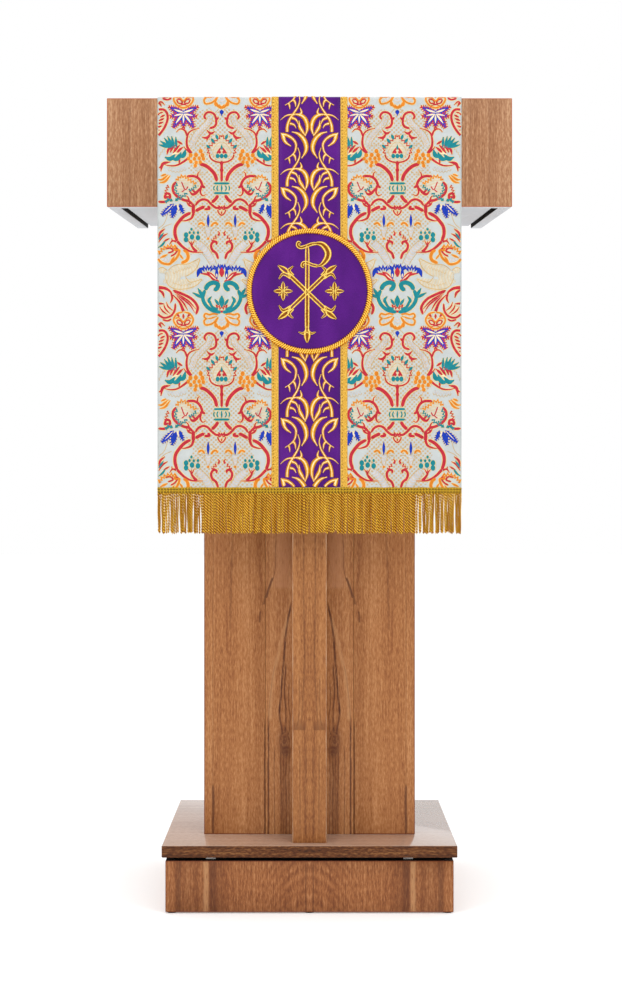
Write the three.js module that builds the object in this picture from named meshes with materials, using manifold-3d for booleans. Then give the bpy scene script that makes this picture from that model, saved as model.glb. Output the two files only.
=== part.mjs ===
// A free-standing wooden pulpit with a cloth cover.
// A box plinth carries a hollow column with a pilaster down its front, and the column carries a wedge-shaped
// head with a sloping book board on the speaker's side. The cover hangs over the head, front and back.
// Millimetres, +Z up, +X to the right as the congregation sees it, and the covered front faces -Y.
// The origin is on the floor under the middle of the pulpit.
import * as THREE from 'three';
import { mergeVertices } from 'three/addons/utils/BufferGeometryUtils.js';
import Module from 'manifold-3d';

const wasm = await Module();
wasm.setup();

// ---------------------------------------------------------------- driving dimensions
const GAP = 0.3; // clearance between pieces that touch

const HEAD_WIDTH = 600;
const HEAD_DEPTH = 415;
const HEAD_TOP = 1218.5; // top edge of the head's front board
const HEAD_FRONT_HEIGHT = 161;
const HEAD_FRONT_BOARD = 22;
const HEAD_SIDE_BOARD = 18.3;
const HEAD_PANEL = 16;
const BOOK_BOARD = 18;
const BOOK_SLOPE = THREE.MathUtils.degToRad(10);
const UNDERSIDE_RISE = THREE.MathUtils.degToRad(5.07);
const UNDERSIDE_RECESS = 4;
const UNDERSIDE_GROOVE = 4.5;
const STOP_WIDTH = 500;
const STOP_DEPTH = 17.5;
const STOP_HEIGHT = 16;
const HEAD_CLEAT = 20;

const COLUMN_WIDTH = 327.5;
const COLUMN_DEPTH = 188;
const COLUMN_BOARD = 18;
const CENTRE_BOARD_WIDTH = 136.8;
const COLUMN_BATTEN = 25;
const STIFFENER_HEIGHT = 560;
const PILASTER_WIDTH = 52.3;
const PILASTER_PROJECTION = 60.5;
const PILASTER_RADIUS = 3.5;

const PLINTH_WIDTH = 445;
const PLINTH_DEPTH = 345;
const PLINTH_TOP = 103.1;
const PLINTH_BOARD = 18;
const SHADOW_GAP = 5.8;
const BOX_INSET = 5.3; // how far the box stands back from the top board's edge
const RISER_INSET = 17; // how far the black strips stand back from the top board's edge
const RISER_THICKNESS = 12;
const CORNER_BLOCK = 30;
const SHIM_OFFSET = 149.3; // from the middle to the middle of a spacer
const SHIM_WIDTH = 15;
const SHIM_THICKNESS = 1.5;
const GLIDE_RADIUS = 8;
const GLIDE_HEIGHT = 2;

const SCREW_HEAD_RADIUS = 4;
const SCREW_SHANK_RADIUS = 2;
const SCREW_HEAD_HEIGHT = 2.4;
const SCREW_LENGTH = 30;
const HEAD_SCREW_OFFSET = 227.5; // from the middle to each screw of the underside

const COVER_WIDTH = 450;
const COVER_LENGTH = 1200; // flat length of the cloth, without its fringes
const COVER_HEM = 633; // lower edge of the cloth in front
const CLOTH = 1.3;
const BAND_WIDTH = 91;
const BAND = 0.7;
const GALLOON_WIDTH = 10.8;
const GALLOON = 1.3;
const MEDALLION_HEIGHT = 932;
const MEDALLION_RADIUS = 84.6;
const ROPE_WIDTH = 7.6;
const ROPE = 2.2;
const FRINGE_HEADER_HEIGHT = 10.4;
const FRINGE_HEADER = 2;
const FRINGE_DROP = 57.5;
const FRINGE = 4.2;
const EMBLEM = 1;
const EMBLEM_STAFF = 141;
const EMBLEM_ARM = 114;
const EMBLEM_STROKE = 7;

// ---------------------------------------------------------------- derived planes
const headFront = -HEAD_DEPTH / 2;
const headBack = HEAD_DEPTH / 2;
const headInnerFront = headFront + HEAD_FRONT_BOARD;
const headInnerSide = HEAD_WIDTH / 2 - HEAD_SIDE_BOARD;
const columnFront = -COLUMN_DEPTH / 2;
const columnBack = COLUMN_DEPTH / 2;
const columnInnerFront = columnFront + COLUMN_BOARD + GAP;
const columnInnerSide = COLUMN_WIDTH / 2 - COLUMN_BOARD - GAP;
const columnFoot = PLINTH_TOP + GAP;
const boxTop = PLINTH_TOP - PLINTH_BOARD - SHADOW_GAP;
const boxHalfWidth = PLINTH_WIDTH / 2 - BOX_INSET;
const boxHalfDepth = PLINTH_DEPTH / 2 - BOX_INSET;

const underside = (y) => HEAD_TOP - HEAD_FRONT_HEIGHT + (y - headFront) * Math.tan(UNDERSIDE_RISE);
const panelUnderside = (y) => underside(y) + UNDERSIDE_RECESS;
const panelTop = (y) => panelUnderside(y) + HEAD_PANEL / Math.cos(UNDERSIDE_RISE);
const bookTop = (y) => HEAD_TOP - (y - headInnerFront) * Math.tan(BOOK_SLOPE);
const bookUnderside = (y) => bookTop(y) - BOOK_BOARD / Math.cos(BOOK_SLOPE);
const columnTop = (y) => panelUnderside(y) - GAP;

// ---------------------------------------------------------------- materials
const finish = (color, roughness, metalness = 0) => () =>
  new THREE.MeshStandardMaterial({ color, roughness, metalness });
const headVeneer = finish(0xb07c55, 0.55);
const columnVeneer = finish(0xaa704a, 0.5);
const plinthVeneer = finish(0x965c3a, 0.5);
const plinthTopVeneer = finish(0x8a6a58, 0.3);
const greyLaminate = finish(0xaeb0b2, 0.5);
const softwood = finish(0xcaa878, 0.8);
const blackPaint = finish(0x14110f, 0.8);
const whitePlastic = finish(0xe8e8e4, 0.5);
const darkPlastic = finish(0x3a2a20, 0.6);
const zincSteel = finish(0x8f8c86, 0.35, 1);
const brocade = finish(0xd8dccf, 0.6);
const purpleSatin = finish(0x58187e, 0.4);
const goldBraid = finish(0xe6b44c, 0.4);
const goldThread = finish(0xd9a032, 0.35);
const goldBullion = finish(0xc0901c, 0.5);

// ---------------------------------------------------------------- shape helpers
const piece = (name, material, geometry) => {
  const mesh = new THREE.Mesh(geometry, material());
  mesh.name = name;
  return mesh;
};

// A square board that fills the given span along each axis.
const board = (name, material, [x0, x1], [y0, y1], [z0, z1]) => {
  const mesh = piece(name, material, new THREE.BoxGeometry(x1 - x0, y1 - y0, z1 - z0));
  mesh.position.set((x0 + x1) / 2, (y0 + y1) / 2, (z0 + z1) / 2);
  return mesh;
};

// Turns a shape drawn in (y, z) and extruded into one that runs along X.
const AS_SIDE_VIEW = new THREE.Matrix4().makeBasis(
  new THREE.Vector3(0, 1, 0),
  new THREE.Vector3(0, 0, 1),
  new THREE.Vector3(1, 0, 0)
);

// A piece with one outline in side view, [y, z] points, from x0 to x1.
const sideView = (name, material, outline, [x0, x1]) => {
  const shape = new THREE.Shape(outline.map(([y, z]) => new THREE.Vector2(y, z)));
  const geometry = new THREE.ExtrudeGeometry(shape, { depth: x1 - x0, bevelEnabled: false });
  const mesh = piece(name, material, geometry);
  mesh.quaternion.setFromRotationMatrix(AS_SIDE_VIEW);
  mesh.position.x = x0;
  return mesh;
};

// The outline between two heights that vary along y.
const between = (y0, y1, low, high) => [
  [y0, low(y0)],
  [y1, low(y1)],
  [y1, high(y1)],
  [y0, high(y0)],
];

// A round piece on a vertical axis, from a profile of [radius, z] points that starts and ends on the axis.
const lathe = (name, material, profile, segments = 24) => {
  const points = profile.map(([r, z]) => new THREE.Vector2(r, z));
  const mesh = piece(name, material, new THREE.LatheGeometry(points, segments));
  mesh.rotation.x = Math.PI / 2;
  return mesh;
};

const manifoldOf = (geometry) => {
  const bare = geometry.clone();
  bare.deleteAttribute('normal');
  bare.deleteAttribute('uv');
  const merged = mergeVertices(bare, 1e-3);
  const vertProperties = merged.attributes.position.array;
  return new wasm.Manifold(new wasm.Mesh({ numProp: 3, vertProperties, triVerts: merged.index.array }));
};

const geometryOf = (solid) => {
  const { vertProperties, triVerts } = solid.getMesh();
  const geometry = new THREE.BufferGeometry();
  geometry.setAttribute('position', new THREE.BufferAttribute(vertProperties, 3));
  geometry.setIndex(new THREE.BufferAttribute(triVerts, 1));
  geometry.computeVertexNormals();
  return geometry;
};

const worldManifold = (mesh) => {
  mesh.updateMatrixWorld(true);
  return manifoldOf(mesh.geometry.clone().applyMatrix4(mesh.matrixWorld));
};

// The same piece with cutters taken away from it, left in the pulpit's own frame.
const cut = (mesh, cutters) => {
  const solid = cutters.reduce((left, cutter) => left.subtract(worldManifold(cutter)), worldManifold(mesh));
  const whole = new THREE.Mesh(geometryOf(solid), mesh.material);
  whole.name = mesh.name;
  return whole;
};

// A countersunk screw whose head's face is at the origin and whose shank runs along +Z.
// grow makes the cutter for its hole.
const screwProfile = (grow) => [
  [0, -grow],
  [SCREW_HEAD_RADIUS + grow, -grow],
  [SCREW_SHANK_RADIUS + grow, SCREW_HEAD_HEIGHT],
  [SCREW_SHANK_RADIUS + grow, SCREW_LENGTH + grow],
  [0, SCREW_LENGTH + grow],
];
const screwAt = (name, place, grow = 0) => {
  const screw = lathe(name, zincSteel, screwProfile(grow), 12);
  place(screw);
  return screw;
};

const sides = [
  ['left', -1],
  ['right', 1],
];
const span = (sign, near, far) => (sign < 0 ? [-far, -near] : [near, far]);

// ---------------------------------------------------------------- plinth
function makePlinth() {
  const group = new THREE.Group();
  const halfWidth = PLINTH_WIDTH / 2;
  const halfDepth = PLINTH_DEPTH / 2;
  const box = [GLIDE_HEIGHT, boxTop];
  const gap = [boxTop + GAP, PLINTH_TOP - PLINTH_BOARD - GAP];

  group.add(
    board(
      'plinth_top_board',
      plinthTopVeneer,
      [-halfWidth, halfWidth],
      [-halfDepth, halfDepth],
      [PLINTH_TOP - PLINTH_BOARD, PLINTH_TOP]
    )
  );

  for (const [name, sign] of [['front', -1], ['back', 1]]) {
    const acrossBox = [-boxHalfWidth, boxHalfWidth];
    const depth = span(sign, boxHalfDepth - PLINTH_BOARD, boxHalfDepth);
    group.add(board(`plinth_${name}_board`, plinthVeneer, acrossBox, depth, box));
    const far = halfDepth - RISER_INSET;
    const riserDepth = span(sign, far - RISER_THICKNESS, far);
    const riserWidth = halfWidth - RISER_INSET;
    group.add(board(`riser_${name}`, blackPaint, [-riserWidth, riserWidth], riserDepth, gap));
  }

  for (const [name, sign] of sides) {
    const width = span(sign, boxHalfWidth - PLINTH_BOARD, boxHalfWidth);
    const innerDepth = boxHalfDepth - PLINTH_BOARD - GAP;
    group.add(board(`plinth_${name}_board`, plinthVeneer, width, [-innerDepth, innerDepth], box));
    const far = halfWidth - RISER_INSET;
    const riserDepth = halfDepth - RISER_INSET - RISER_THICKNESS - GAP;
    const riserWidth = span(sign, far - RISER_THICKNESS, far);
    group.add(board(`riser_${name}`, blackPaint, riserWidth, [-riserDepth, riserDepth], gap));

    const shimWidth = span(sign, SHIM_OFFSET - SHIM_WIDTH / 2, SHIM_OFFSET + SHIM_WIDTH / 2);
    const shimBack = halfDepth - RISER_INSET + GAP;
    const shimDepth = span(-1, shimBack, shimBack + SHIM_THICKNESS);
    group.add(board(`shim_${name}`, whitePlastic, shimWidth, shimDepth, gap));

    for (const [end, endSign] of [['front', -1], ['back', 1]]) {
      const blockX = boxHalfWidth - PLINTH_BOARD - GAP;
      const blockY = boxHalfDepth - PLINTH_BOARD - GAP;
      group.add(
        board(
          `corner_block_${end}_${name}`,
          softwood,
          span(sign, blockX - CORNER_BLOCK, blockX),
          span(endSign, blockY - CORNER_BLOCK, blockY),
          [GLIDE_HEIGHT + PLINTH_BOARD, boxTop]
        )
      );
      group.add(glide(`glide_${end}_${name}`, sign * (boxHalfWidth - PLINTH_BOARD / 2), endSign));
    }
  }
  group.add(glide('glide_front_centre', 0, -1), glide('glide_back_centre', 0, 1));
  return group;
}

// A low round glide under the front or back board of the box.
function glide(name, x, endSign) {
  const outline = [
    [0, 0],
    [GLIDE_RADIUS - 1, 0],
    [GLIDE_RADIUS, GLIDE_HEIGHT / 2],
    [GLIDE_RADIUS, GLIDE_HEIGHT - GAP],
    [0, GLIDE_HEIGHT - GAP],
  ];
  const mesh = lathe(name, darkPlastic, outline);
  mesh.position.set(x, endSign * (boxHalfDepth - PLINTH_BOARD / 2), 0);
  return mesh;
}

// ---------------------------------------------------------------- column
function makeColumn() {
  const group = new THREE.Group();
  const halfWidth = COLUMN_WIDTH / 2;
  const halfCentre = CENTRE_BOARD_WIDTH / 2;
  const foot = () => columnFoot;
  const backFace = columnBack - 1;

  const frontOutline = between(columnFront, columnFront + COLUMN_BOARD, foot, columnTop);
  const centreBoard = sideView('column_front_centre', columnVeneer, frontOutline, [-halfCentre, halfCentre]);
  const pilasterBack = columnFront - GAP;
  const pilasterFront = columnFront - PILASTER_PROJECTION;

  const screws = (grow) =>
    [['lower', 300], ['upper', 850]].map(([name, z]) =>
      screwAt(
        `pilaster_screw_${name}`,
        (screw) => {
          screw.rotation.x = Math.PI;
          screw.position.set(0, columnFront + COLUMN_BOARD, z);
        },
        grow
      )
    );

  group.add(cut(centreBoard, screws(GAP)));
  group.add(cut(pilasterPost(pilasterFront, pilasterBack), screws(GAP)));
  group.add(...screws(0));

  for (const [name, sign] of sides) {
    const outer = span(sign, halfCentre + GAP, halfWidth);
    group.add(sideView(`column_front_${name}`, columnVeneer, frontOutline, outer));

    const sideOutline = between(columnInnerFront, columnBack, foot, columnTop);
    const wall = span(sign, halfWidth - COLUMN_BOARD, halfWidth);
    group.add(sideView(`column_${name}_board`, columnVeneer, sideOutline, wall));

    const battenEnds = [columnInnerFront + GAP, backFace - COLUMN_BOARD - GAP];
    const battenWidth = span(sign, columnInnerSide - COLUMN_BATTEN, columnInnerSide);
    const battenFoot = [columnFoot, columnFoot + COLUMN_BATTEN];
    group.add(board(`foot_batten_${name}`, softwood, battenWidth, battenEnds, battenFoot));
    const headOutline = between(...battenEnds, (y) => columnTop(y) - COLUMN_BATTEN, columnTop);
    group.add(sideView(`head_batten_${name}`, softwood, headOutline, battenWidth));
  }

  const inner = [-columnInnerSide, columnInnerSide];
  const backOutline = between(backFace - COLUMN_BOARD, backFace, foot, columnTop);
  group.add(sideView('column_back_board', columnVeneer, backOutline, inner));
  group.add(
    board(
      'column_stiffener',
      softwood,
      inner,
      [columnInnerFront + GAP, backFace - COLUMN_BOARD - GAP],
      [STIFFENER_HEIGHT, STIFFENER_HEIGHT + COLUMN_BOARD]
    )
  );
  return group;
}

// The post in front of the column: its two front edges are rounded, and its top follows the head's underside.
function pilasterPost(front, back) {
  const half = PILASTER_WIDTH / 2;
  const r = PILASTER_RADIUS;
  const section = new THREE.Shape();
  section.moveTo(half, back);
  section.lineTo(-half, back);
  section.lineTo(-half, front + r);
  section.absarc(-half + r, front + r, r, Math.PI, Math.PI * 1.5);
  section.absarc(half - r, front + r, r, Math.PI * 1.5, Math.PI * 2);
  section.lineTo(half, back);
  const height = columnTop(back) - columnFoot;
  const post = new THREE.ExtrudeGeometry(section, { depth: height, bevelEnabled: false, curveSegments: 6 });
  const mesh = piece('pilaster', columnVeneer, post);
  mesh.position.z = columnFoot;

  const above = between(front - 1, back + 1, columnTop, () => HEAD_TOP);
  return cut(mesh, [sideView('above', columnVeneer, above, [-half - 1, half + 1])]);
}

// ---------------------------------------------------------------- head
function makeHead() {
  const group = new THREE.Group();
  const halfWidth = HEAD_WIDTH / 2;
  const start = headInnerFront + GAP;
  const underBook = (y) => bookUnderside(y) - GAP;

  const whole = [-halfWidth, halfWidth];
  const frontOutline = between(headFront, headInnerFront, underside, () => HEAD_TOP);
  group.add(sideView('head_front_board', headVeneer, frontOutline, whole));
  group.add(sideView('book_board', headVeneer, between(start, headBack, bookUnderside, bookTop), whole));

  const stopFront = headBack - STOP_DEPTH;
  const stopOutline = between(stopFront, headBack, (y) => bookTop(y) + GAP, () => bookTop(stopFront) + STOP_HEIGHT);
  group.add(sideView('book_stop', headVeneer, stopOutline, [-STOP_WIDTH / 2, STOP_WIDTH / 2]));

  for (const [name, sign] of sides) {
    const wall = span(sign, headInnerSide, halfWidth);
    group.add(sideView(`head_${name}_board`, headVeneer, between(start, headBack, underside, underBook), wall));
    const cleatOutline = between(start + HEAD_CLEAT, headBack - 55, (y) => underBook(y) - HEAD_CLEAT, underBook);
    const cleatWidth = span(sign, headInnerSide - GAP - HEAD_CLEAT, headInnerSide - GAP);
    group.add(sideView(`book_cleat_${name}`, softwood, cleatOutline, cleatWidth));
  }

  // The bottom board is screwed up into a batten behind the front board and into the back rail.
  const panelHalfWidth = headInnerSide - UNDERSIDE_GROOVE;
  const panelOutline = between(start, headBack - UNDERSIDE_GROOVE, panelUnderside, panelTop);
  const panel = [-panelHalfWidth, panelHalfWidth];
  const bottom = sideView('head_bottom_board', greyLaminate, panelOutline, panel);

  const onPanel = (y) => panelTop(y) + GAP;
  const battenOutline = between(start, start + HEAD_CLEAT, onPanel, (y) => onPanel(y) + HEAD_CLEAT);
  const batten = sideView('head_front_batten', softwood, battenOutline, panel);
  const railHalfWidth = headInnerSide - GAP;
  const railOutline = between(headBack - COLUMN_BOARD, headBack - GAP, onPanel, underBook);
  const rail = sideView('head_back_rail', headVeneer, railOutline, [-railHalfWidth, railHalfWidth]);

  const screws = (grow) => {
    const rows = [['front', start + HEAD_CLEAT / 3], ['back', headBack - COLUMN_BOARD / 2]];
    return rows.flatMap(([end, y]) =>
      sides.map(([name, sign]) =>
        screwAt(
          `head_screw_${end}_${name}`,
          (screw) => {
            screw.rotation.x = Math.PI / 2 + UNDERSIDE_RISE;
            screw.position.set(sign * HEAD_SCREW_OFFSET, y, panelUnderside(y));
          },
          grow
        )
      )
    );
  };
  group.add(cut(bottom, screws(GAP)), cut(batten, screws(GAP)), cut(rail, screws(GAP)), ...screws(0));
  return group;
}

// ---------------------------------------------------------------- cover
// Where the cloth lies: up the front, over the front board, down the book board, over the stop and down the
// back. Each bend has its own radius. The last point is set by the length of the cloth.
function coverRoute() {
  const stopFront = headBack - STOP_DEPTH;
  const stopTop = bookTop(stopFront) + STOP_HEIGHT + GAP;
  const bridge = stopFront - 40; // the cloth leaves the board here and rises to the stop
  const bends = [
    { at: [headFront - GAP, HEAD_TOP + GAP], radius: 0.6 },
    { at: [headInnerFront, HEAD_TOP + GAP], radius: 6 },
    { at: [bridge, bookTop(bridge) + GAP], radius: 14 },
    { at: [stopFront - 1.5, stopTop], radius: 1.5 },
    { at: [headBack + GAP, stopTop], radius: 0.6 },
  ].map(({ at, radius }) => ({ at: new THREE.Vector2(...at), radius }));

  const ends = [new THREE.Vector2(headFront - GAP, COVER_HEM), new THREE.Vector2(headBack + GAP, 0)];
  const corners = [ends[0], ...bends.map(({ at }) => at), ends[1]];
  const route = [ends[0]];
  bends.forEach(({ at, radius }, i) => {
    const into = at.clone().sub(corners[i]).normalize();
    const out = corners[i + 2].clone().sub(at).normalize();
    const turn = Math.atan2(into.cross(out), into.dot(out));
    const reach = radius * Math.tan(Math.abs(turn) / 2);
    const normal = new THREE.Vector2(-into.y, into.x).multiplyScalar(Math.sign(turn));
    const centre = at.clone().addScaledVector(into, -reach).addScaledVector(normal, radius);
    const steps = Math.max(3, Math.ceil(Math.abs(turn) / 0.3));
    for (let k = 0; k <= steps; k += 1) {
      const spoke = normal.clone().multiplyScalar(-radius).rotateAround(new THREE.Vector2(), (turn * k) / steps);
      route.push(centre.clone().add(spoke));
    }
  });

  const used = route.slice(1).reduce((sum, point, i) => sum + point.distanceTo(route[i]), 0);
  const last = route[route.length - 1];
  route.push(new THREE.Vector2(last.x, last.y - (COVER_LENGTH - used)));
  return route;
}

// The route moved outwards, away from the wood.
function offsetRoute(route, distance) {
  return route.map((point, i) => {
    const before = route[Math.max(i - 1, 0)];
    const after = route[Math.min(i + 1, route.length - 1)];
    const along = after.clone().sub(before).normalize();
    return point.clone().addScaledVector(new THREE.Vector2(-along.y, along.x), distance);
  });
}

function makeCover() {
  const group = new THREE.Group();
  const route = coverRoute();
  const front = headFront - GAP;
  const onCloth = CLOTH + GAP;
  const backHem = route[route.length - 1].y;

  // A strip that follows the whole route between two distances from the wood, shortened at both ends.
  const strip = (name, material, near, far, [x0, x1], shorten) => {
    const line = route.map((point) => point.clone());
    line[0].y += shorten;
    line[line.length - 1].y += shorten;
    const outline = [...offsetRoute(line, near), ...offsetRoute(line, far).reverse()];
    const backwards = outline.reverse().map(({ x, y }) => [x, y]);
    return sideView(name, material, backwards, [x0, x1]);
  };

  const halfWidth = COVER_WIDTH / 2;
  const halfBand = BAND_WIDTH / 2;
  const aboveHeader = FRINGE_HEADER_HEIGHT - 1;
  group.add(strip('cover_cloth', brocade, 0, CLOTH, [-halfWidth, halfWidth], 0));
  group.add(
    strip('orphrey_band', purpleSatin, onCloth, onCloth + BAND, [-halfBand, halfBand], aboveHeader)
  );
  for (const [name, sign] of sides) {
    const width = span(sign, halfBand + GAP, halfBand + GALLOON_WIDTH);
    group.add(strip(`galloon_${name}`, goldBraid, onCloth, onCloth + GALLOON, width, aboveHeader));
  }

  // The medallion lies on the band and the braids.
  const onBraid = front - onCloth - GALLOON - GAP;
  const ground = piece('medallion_ground', purpleSatin, new THREE.CylinderGeometry(MEDALLION_RADIUS, MEDALLION_RADIUS, BAND, 72));
  ground.position.set(0, onBraid - BAND / 2, MEDALLION_HEIGHT);
  const ropeInner = MEDALLION_RADIUS + GAP;
  const ropeProfile = [
    [ropeInner, 0],
    [ropeInner + ROPE_WIDTH, 0],
    [ropeInner + ROPE_WIDTH, ROPE / 2],
    [ropeInner + ROPE_WIDTH * 0.75, ROPE],
    [ropeInner + ROPE_WIDTH * 0.25, ROPE],
    [ropeInner, ROPE / 2],
    [ropeInner, 0],
  ].map(([r, y]) => new THREE.Vector2(r, y));
  const rope = piece('medallion_rope', goldBraid, new THREE.LatheGeometry(ropeProfile, 72));
  rope.rotation.x = Math.PI;
  rope.position.set(0, onBraid, MEDALLION_HEIGHT);
  const emblem = makeEmblem();
  emblem.position.set(0, onBraid - BAND - GAP, MEDALLION_HEIGHT);
  group.add(ground, rope, emblem);

  // Each end has a braid header over its hem, and the fringe hangs from it.
  const across = [-halfWidth, halfWidth];
  for (const [name, hem, sign] of [['front', COVER_HEM, -1], ['back', backHem, 1]]) {
    const wood = headBack + GAP;
    const header = span(sign, wood + onCloth, wood + onCloth + FRINGE_HEADER);
    const headerHeight = [hem - 1, hem + FRINGE_HEADER_HEIGHT - 1 - GAP];
    group.add(board(`fringe_header_${name}`, goldBullion, across, header, headerHeight));
    const fringeHeight = [hem - 1 - GAP - FRINGE_DROP, hem - 1 - GAP];
    group.add(board(`fringe_${name}`, goldBullion, across, span(sign, wood, wood + FRINGE), fringeHeight));
  }
  return group;
}

// The embroidered sign, flat and plain: a staff, two crossed arms and a bowl at the staff's top. Its back is at
// the origin and it stands out along -Y.
function makeEmblem() {
  const slab = (shape) => {
    const geometry = new THREE.ExtrudeGeometry(shape, { depth: EMBLEM, bevelEnabled: false, curveSegments: 20 });
    return geometry.rotateX(Math.PI / 2);
  };
  const bar = (length) => {
    const shape = new THREE.Shape();
    const w = EMBLEM_STROKE / 2;
    const l = length / 2;
    shape.setFromPoints(
      [[-w, -l], [w, -l], [w, l], [-w, l]].map(([x, y]) => new THREE.Vector2(x, y))
    );
    return slab(shape);
  };
  const bowlOuter = 19;
  const bowl = new THREE.Shape().absarc(0, 0, bowlOuter, 0, Math.PI * 2);
  bowl.holes.push(new THREE.Path().absarc(0, 0, bowlOuter - EMBLEM_STROKE, 0, Math.PI * 2));
  const bowlCentre = [bowlOuter - EMBLEM_STROKE / 2, 0, EMBLEM_STAFF / 2 - bowlOuter];

  const arms = [-1, 1].map((sign) => bar(EMBLEM_ARM).rotateY((sign * Math.PI) / 4));
  const parts = [bar(EMBLEM_STAFF), ...arms, slab(bowl).translate(...bowlCentre)];
  const whole = parts.map(manifoldOf).reduce((sum, part) => sum.add(part));
  return piece('emblem', goldThread, geometryOf(whole));
}

// ---------------------------------------------------------------- the whole pulpit
const group = new THREE.Group();
group.add(makePlinth(), makeColumn(), makeHead(), makeCover());
export default group;
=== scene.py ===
"""The looks of a wooden pulpit with a brocade cover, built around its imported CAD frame.

Metres, +Z up, the covered front faces -Y. Ornament on the cover is drawn in millimetres on the flat cloth and
laid on the draped surface. x runs across the cloth, and s along it, from the front hem over the head to the
back hem.
"""

import math

import bpy
import numpy as np
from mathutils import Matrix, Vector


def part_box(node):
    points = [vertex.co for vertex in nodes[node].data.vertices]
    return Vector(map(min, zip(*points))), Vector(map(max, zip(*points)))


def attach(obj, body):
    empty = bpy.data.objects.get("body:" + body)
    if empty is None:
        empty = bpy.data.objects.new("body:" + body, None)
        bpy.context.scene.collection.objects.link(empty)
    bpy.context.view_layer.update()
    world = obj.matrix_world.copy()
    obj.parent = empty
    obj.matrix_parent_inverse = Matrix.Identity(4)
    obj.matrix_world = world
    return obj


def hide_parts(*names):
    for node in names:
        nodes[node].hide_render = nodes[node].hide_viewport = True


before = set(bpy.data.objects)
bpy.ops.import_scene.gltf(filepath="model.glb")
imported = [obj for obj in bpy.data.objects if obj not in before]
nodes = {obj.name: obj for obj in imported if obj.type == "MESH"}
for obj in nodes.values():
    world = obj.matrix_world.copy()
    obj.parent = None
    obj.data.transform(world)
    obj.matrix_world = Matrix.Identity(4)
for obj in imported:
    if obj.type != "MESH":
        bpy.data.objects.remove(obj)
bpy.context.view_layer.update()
MM = 0.001


# ------------------------------------------------------------------ camera
CAMERA_PLACE = (0, -2.518, 0.6434)
CAMERA_LENS = 56.16
CAMERA_SHIFT = (0.0015, -0.0135)


def add_camera():
    camera = bpy.data.cameras.new("camera")
    camera.lens = CAMERA_LENS
    camera.shift_x, camera.shift_y = CAMERA_SHIFT
    holder = bpy.data.objects.new("camera", camera)
    holder.location = CAMERA_PLACE
    holder.rotation_euler = (math.pi / 2, 0, 0)
    bpy.context.scene.collection.objects.link(holder)
    bpy.context.scene.camera = holder


# ------------------------------------------------------------------ material helpers
def linear(red, green, blue):
    """A colour given as 0 to 255 display values, as the renderer wants it."""
    values = [c / 255 for c in (red, green, blue)]
    return tuple(c / 12.92 if c <= 0.04045 else ((c + 0.055) / 1.055) ** 2.4 for c in values)


class Signal:
    """A value that runs between a material's nodes. Arithmetic on it adds Math nodes."""

    def __init__(self, shader, socket):
        self.shader, self.socket = shader, socket

    def __add__(self, other):
        return self.shader.math("ADD", self, other)

    def __sub__(self, other):
        return self.shader.math("SUBTRACT", self, other)

    def __mul__(self, other):
        return self.shader.math("MULTIPLY", self, other)

    def __truediv__(self, other):
        return self.shader.math("DIVIDE", self, other)

    def __pow__(self, other):
        return self.shader.math("POWER", self, other)

    def __abs__(self):
        return self.shader.math("ABSOLUTE", self)


MIX_FACTOR, MIX_A, MIX_B, MIX_RESULT = 0, 6, 7, 2  # the colour sockets of a Mix node


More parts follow.
